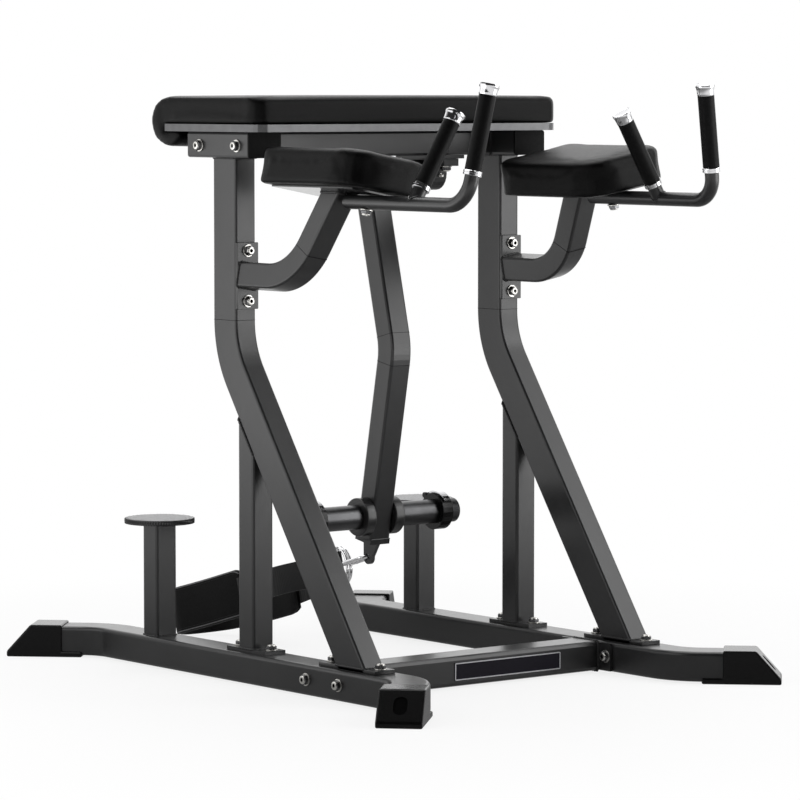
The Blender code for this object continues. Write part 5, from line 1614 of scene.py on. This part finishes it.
def webbing_path(line, side):
    """From the pad's outer face to a ring, round its flat side and back."""
    lead = [point for point in line[: len(line) // 2] if point.y < PAD_START + WEBBING_OVERLAP]
    outer = []
    inner = []
    for index, point in enumerate(lead):
        ahead = ahead_at(lead, index)
        out = Vector((ahead.y, -ahead.x, 0)).normalized()
        if out.x * side < 0:
            out.negate()
        over = min(1.0, max(0.0, (point.y - PAD_START + WEBBING_RAMP) / WEBBING_RAMP))
        outer.append(point + out * (WEBBING_LIFT + over * WEBBING_CLIMB))
        if point.y < PAD_START - WEBBING_TAIL:
            inner.append(point - out * WEBBING_LIFT)
    turn = arc((RING_X, -RING_FLAT_Y), WRAP_RADIUS, *WRAP_ANGLES, 10)
    wrap = [Vector((side * x, -y, 0)) for x, y in turn]
    return evenly(outer[::-1] + wrap + inner, WEBBING_SPACING, closed=False)


def add_webbing(line):
    """Webbing from each ring's flat side, doubled back and sewn onto the pad's outer face."""
    section = rounded_outline(WEBBING_LAYER, WEBBING_WIDTH, WEBBING_EDGE, 2)
    paths = (webbing_path(line, -1), webbing_path(line[::-1], 1))
    shapes = [swept(path, section, up=Z_AXIS) for path in paths]
    on_strap("strap_webbing", shapes, "black_webbing", slot="black_webbing")


def add_strap():
    line = strap_line()
    pad = [point for point in line if point.y > PAD_START]
    add_pad(pad)
    add_piping(pad)
    add_webbing(line)
    add_stitches(pad)


def add_snap_link():
    """The snap link, with a hinged gate on one side and a rivet at each of its ends."""
    radius = LINK_WIDTH / 2 - LINK_RADIUS
    length = LINK_LENGTH - 2 * LINK_RADIUS
    near = radius + LINK_SLACK
    far = length - radius + LINK_SLACK
    outline = arc((0, near), radius, 180, 360, 20) + arc((0, far), radius, 0, 180, 20)
    shapes = [swept([(x, y, 0) for x, y in outline], circle(LINK_RADIUS, 20), closed=True)]
    for y in (near + GATE_START, far - GATE_STOP):
        shapes.append(turned((radius, y, 0), Y_AXIS, GATE_END, 24))
        shapes.append(turned((radius, y, 0), Z_AXIS, GATE_RIVET, 16))
    on_strap("snap_link", shapes, "link", "carabiner", "chrome")


def add_ring(word, side):
    """A D-shaped ring: a bow from end to end of its flat side, whose corners are round."""
    middle = RING_FLAT_Y - RING_CORNER
    bow = arc((0, 0), 1, 90, 270, 32)
    outline = [(middle + (RING_REACH - RING_CORNER) * y, RING_HALF_HEIGHT * z) for y, z in bow]
    for end, first in ((-1, 285), (1, 15)):
        outline += arc((middle, end * (RING_HALF_HEIGHT - RING_CORNER)), RING_CORNER, first, first + 60, 4)
    path = evenly([(side * RING_X, y, z) for y, z in outline], RING_SPACING)
    ring = swept(path, circle(RING_RADIUS, 16), closed=True)
    on_strap("d_ring_" + word, [ring], "link", "strap_ring_" + word, "chrome")


# Putting it together

OWN_FINISHES = {"elbow_board": "underside", "bracket_cap": "dull_plastic"}


def paint_frame_nodes():
    """Gives every solid the finish of its material slot, or the one of its own kind."""
    for sub in FRAME["record"]["subparts"]:
        finish = sub["material_slot"]
        for start, own in OWN_FINISHES.items():
            if sub["node"].startswith(start):
                finish = own
        materials = NODES[sub["node"]].data.materials
        materials.clear()
        materials.append(MATERIALS[finish])


def on_both_sides(*adders):
    """Adds what stands on the left and on the right, the left side's pieces first."""
    for word, side in SIDES:
        for add in adders:
            add(word, side)


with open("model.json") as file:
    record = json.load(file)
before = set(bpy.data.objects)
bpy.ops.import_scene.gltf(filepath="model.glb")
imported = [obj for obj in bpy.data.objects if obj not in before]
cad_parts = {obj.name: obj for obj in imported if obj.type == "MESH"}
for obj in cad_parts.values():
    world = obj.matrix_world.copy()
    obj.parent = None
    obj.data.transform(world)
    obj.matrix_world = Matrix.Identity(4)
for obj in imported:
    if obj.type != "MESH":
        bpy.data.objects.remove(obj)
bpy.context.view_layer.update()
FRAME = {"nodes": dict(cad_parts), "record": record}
NODES = FRAME["nodes"]
MATERIALS = {
    "powder_coat": powder_coat(),
    "black_plastic": moulded_plastic("black_moulded_plastic", 0.003, 0.24, 0.28),
    "grey_board": board_paint(),
    "plate_face": anodised_field(),
    "black_vinyl": vinyl(),
    "cast_housing": cast_iron(),
    "black_rubber": rubber_grip(),
    "chrome": chrome(),
    "bright_steel": turned_steel(),
    "black_webbing": webbing_cloth(),
    "dull_plastic": moulded_plastic("black_end_cap_plastic", 0.004, 0.50, 0.08),
    "underside": board_underside(),
    "weld": weld_paint(),
    "tread": tread_coat_painted_reflection(),
    "shade_and_seam_black": deep_black(),
    "zinc": zinc(),
    "nut": nut_steel(),
    "plate_rim": plate_rim(),
    "link": link_chrome(),
    "lining": lining_cloth(),
    "cover": cover_cloth(),
    "piping": piping_cord(),
    "thread": thread(),
}
paint_frame_nodes()
add_camera()
add_world()
add_lamps()
add_floor()
on_both_sides(add_rail, add_post, add_elbow_arm)
add_cushions()
on_both_sides(add_fasteners)
add_cap_recess_shade()
on_both_sides(add_handles)
on_both_sides(add_horn)
add_arm_end()
add_shaft()
on_both_sides(add_bearing_details)
on_both_sides(add_step)
add_name_plate()
add_seams()
on_both_sides(add_frame_welds)
add_pendulum_welds()
add_strap()
add_snap_link()
on_both_sides(add_ring)
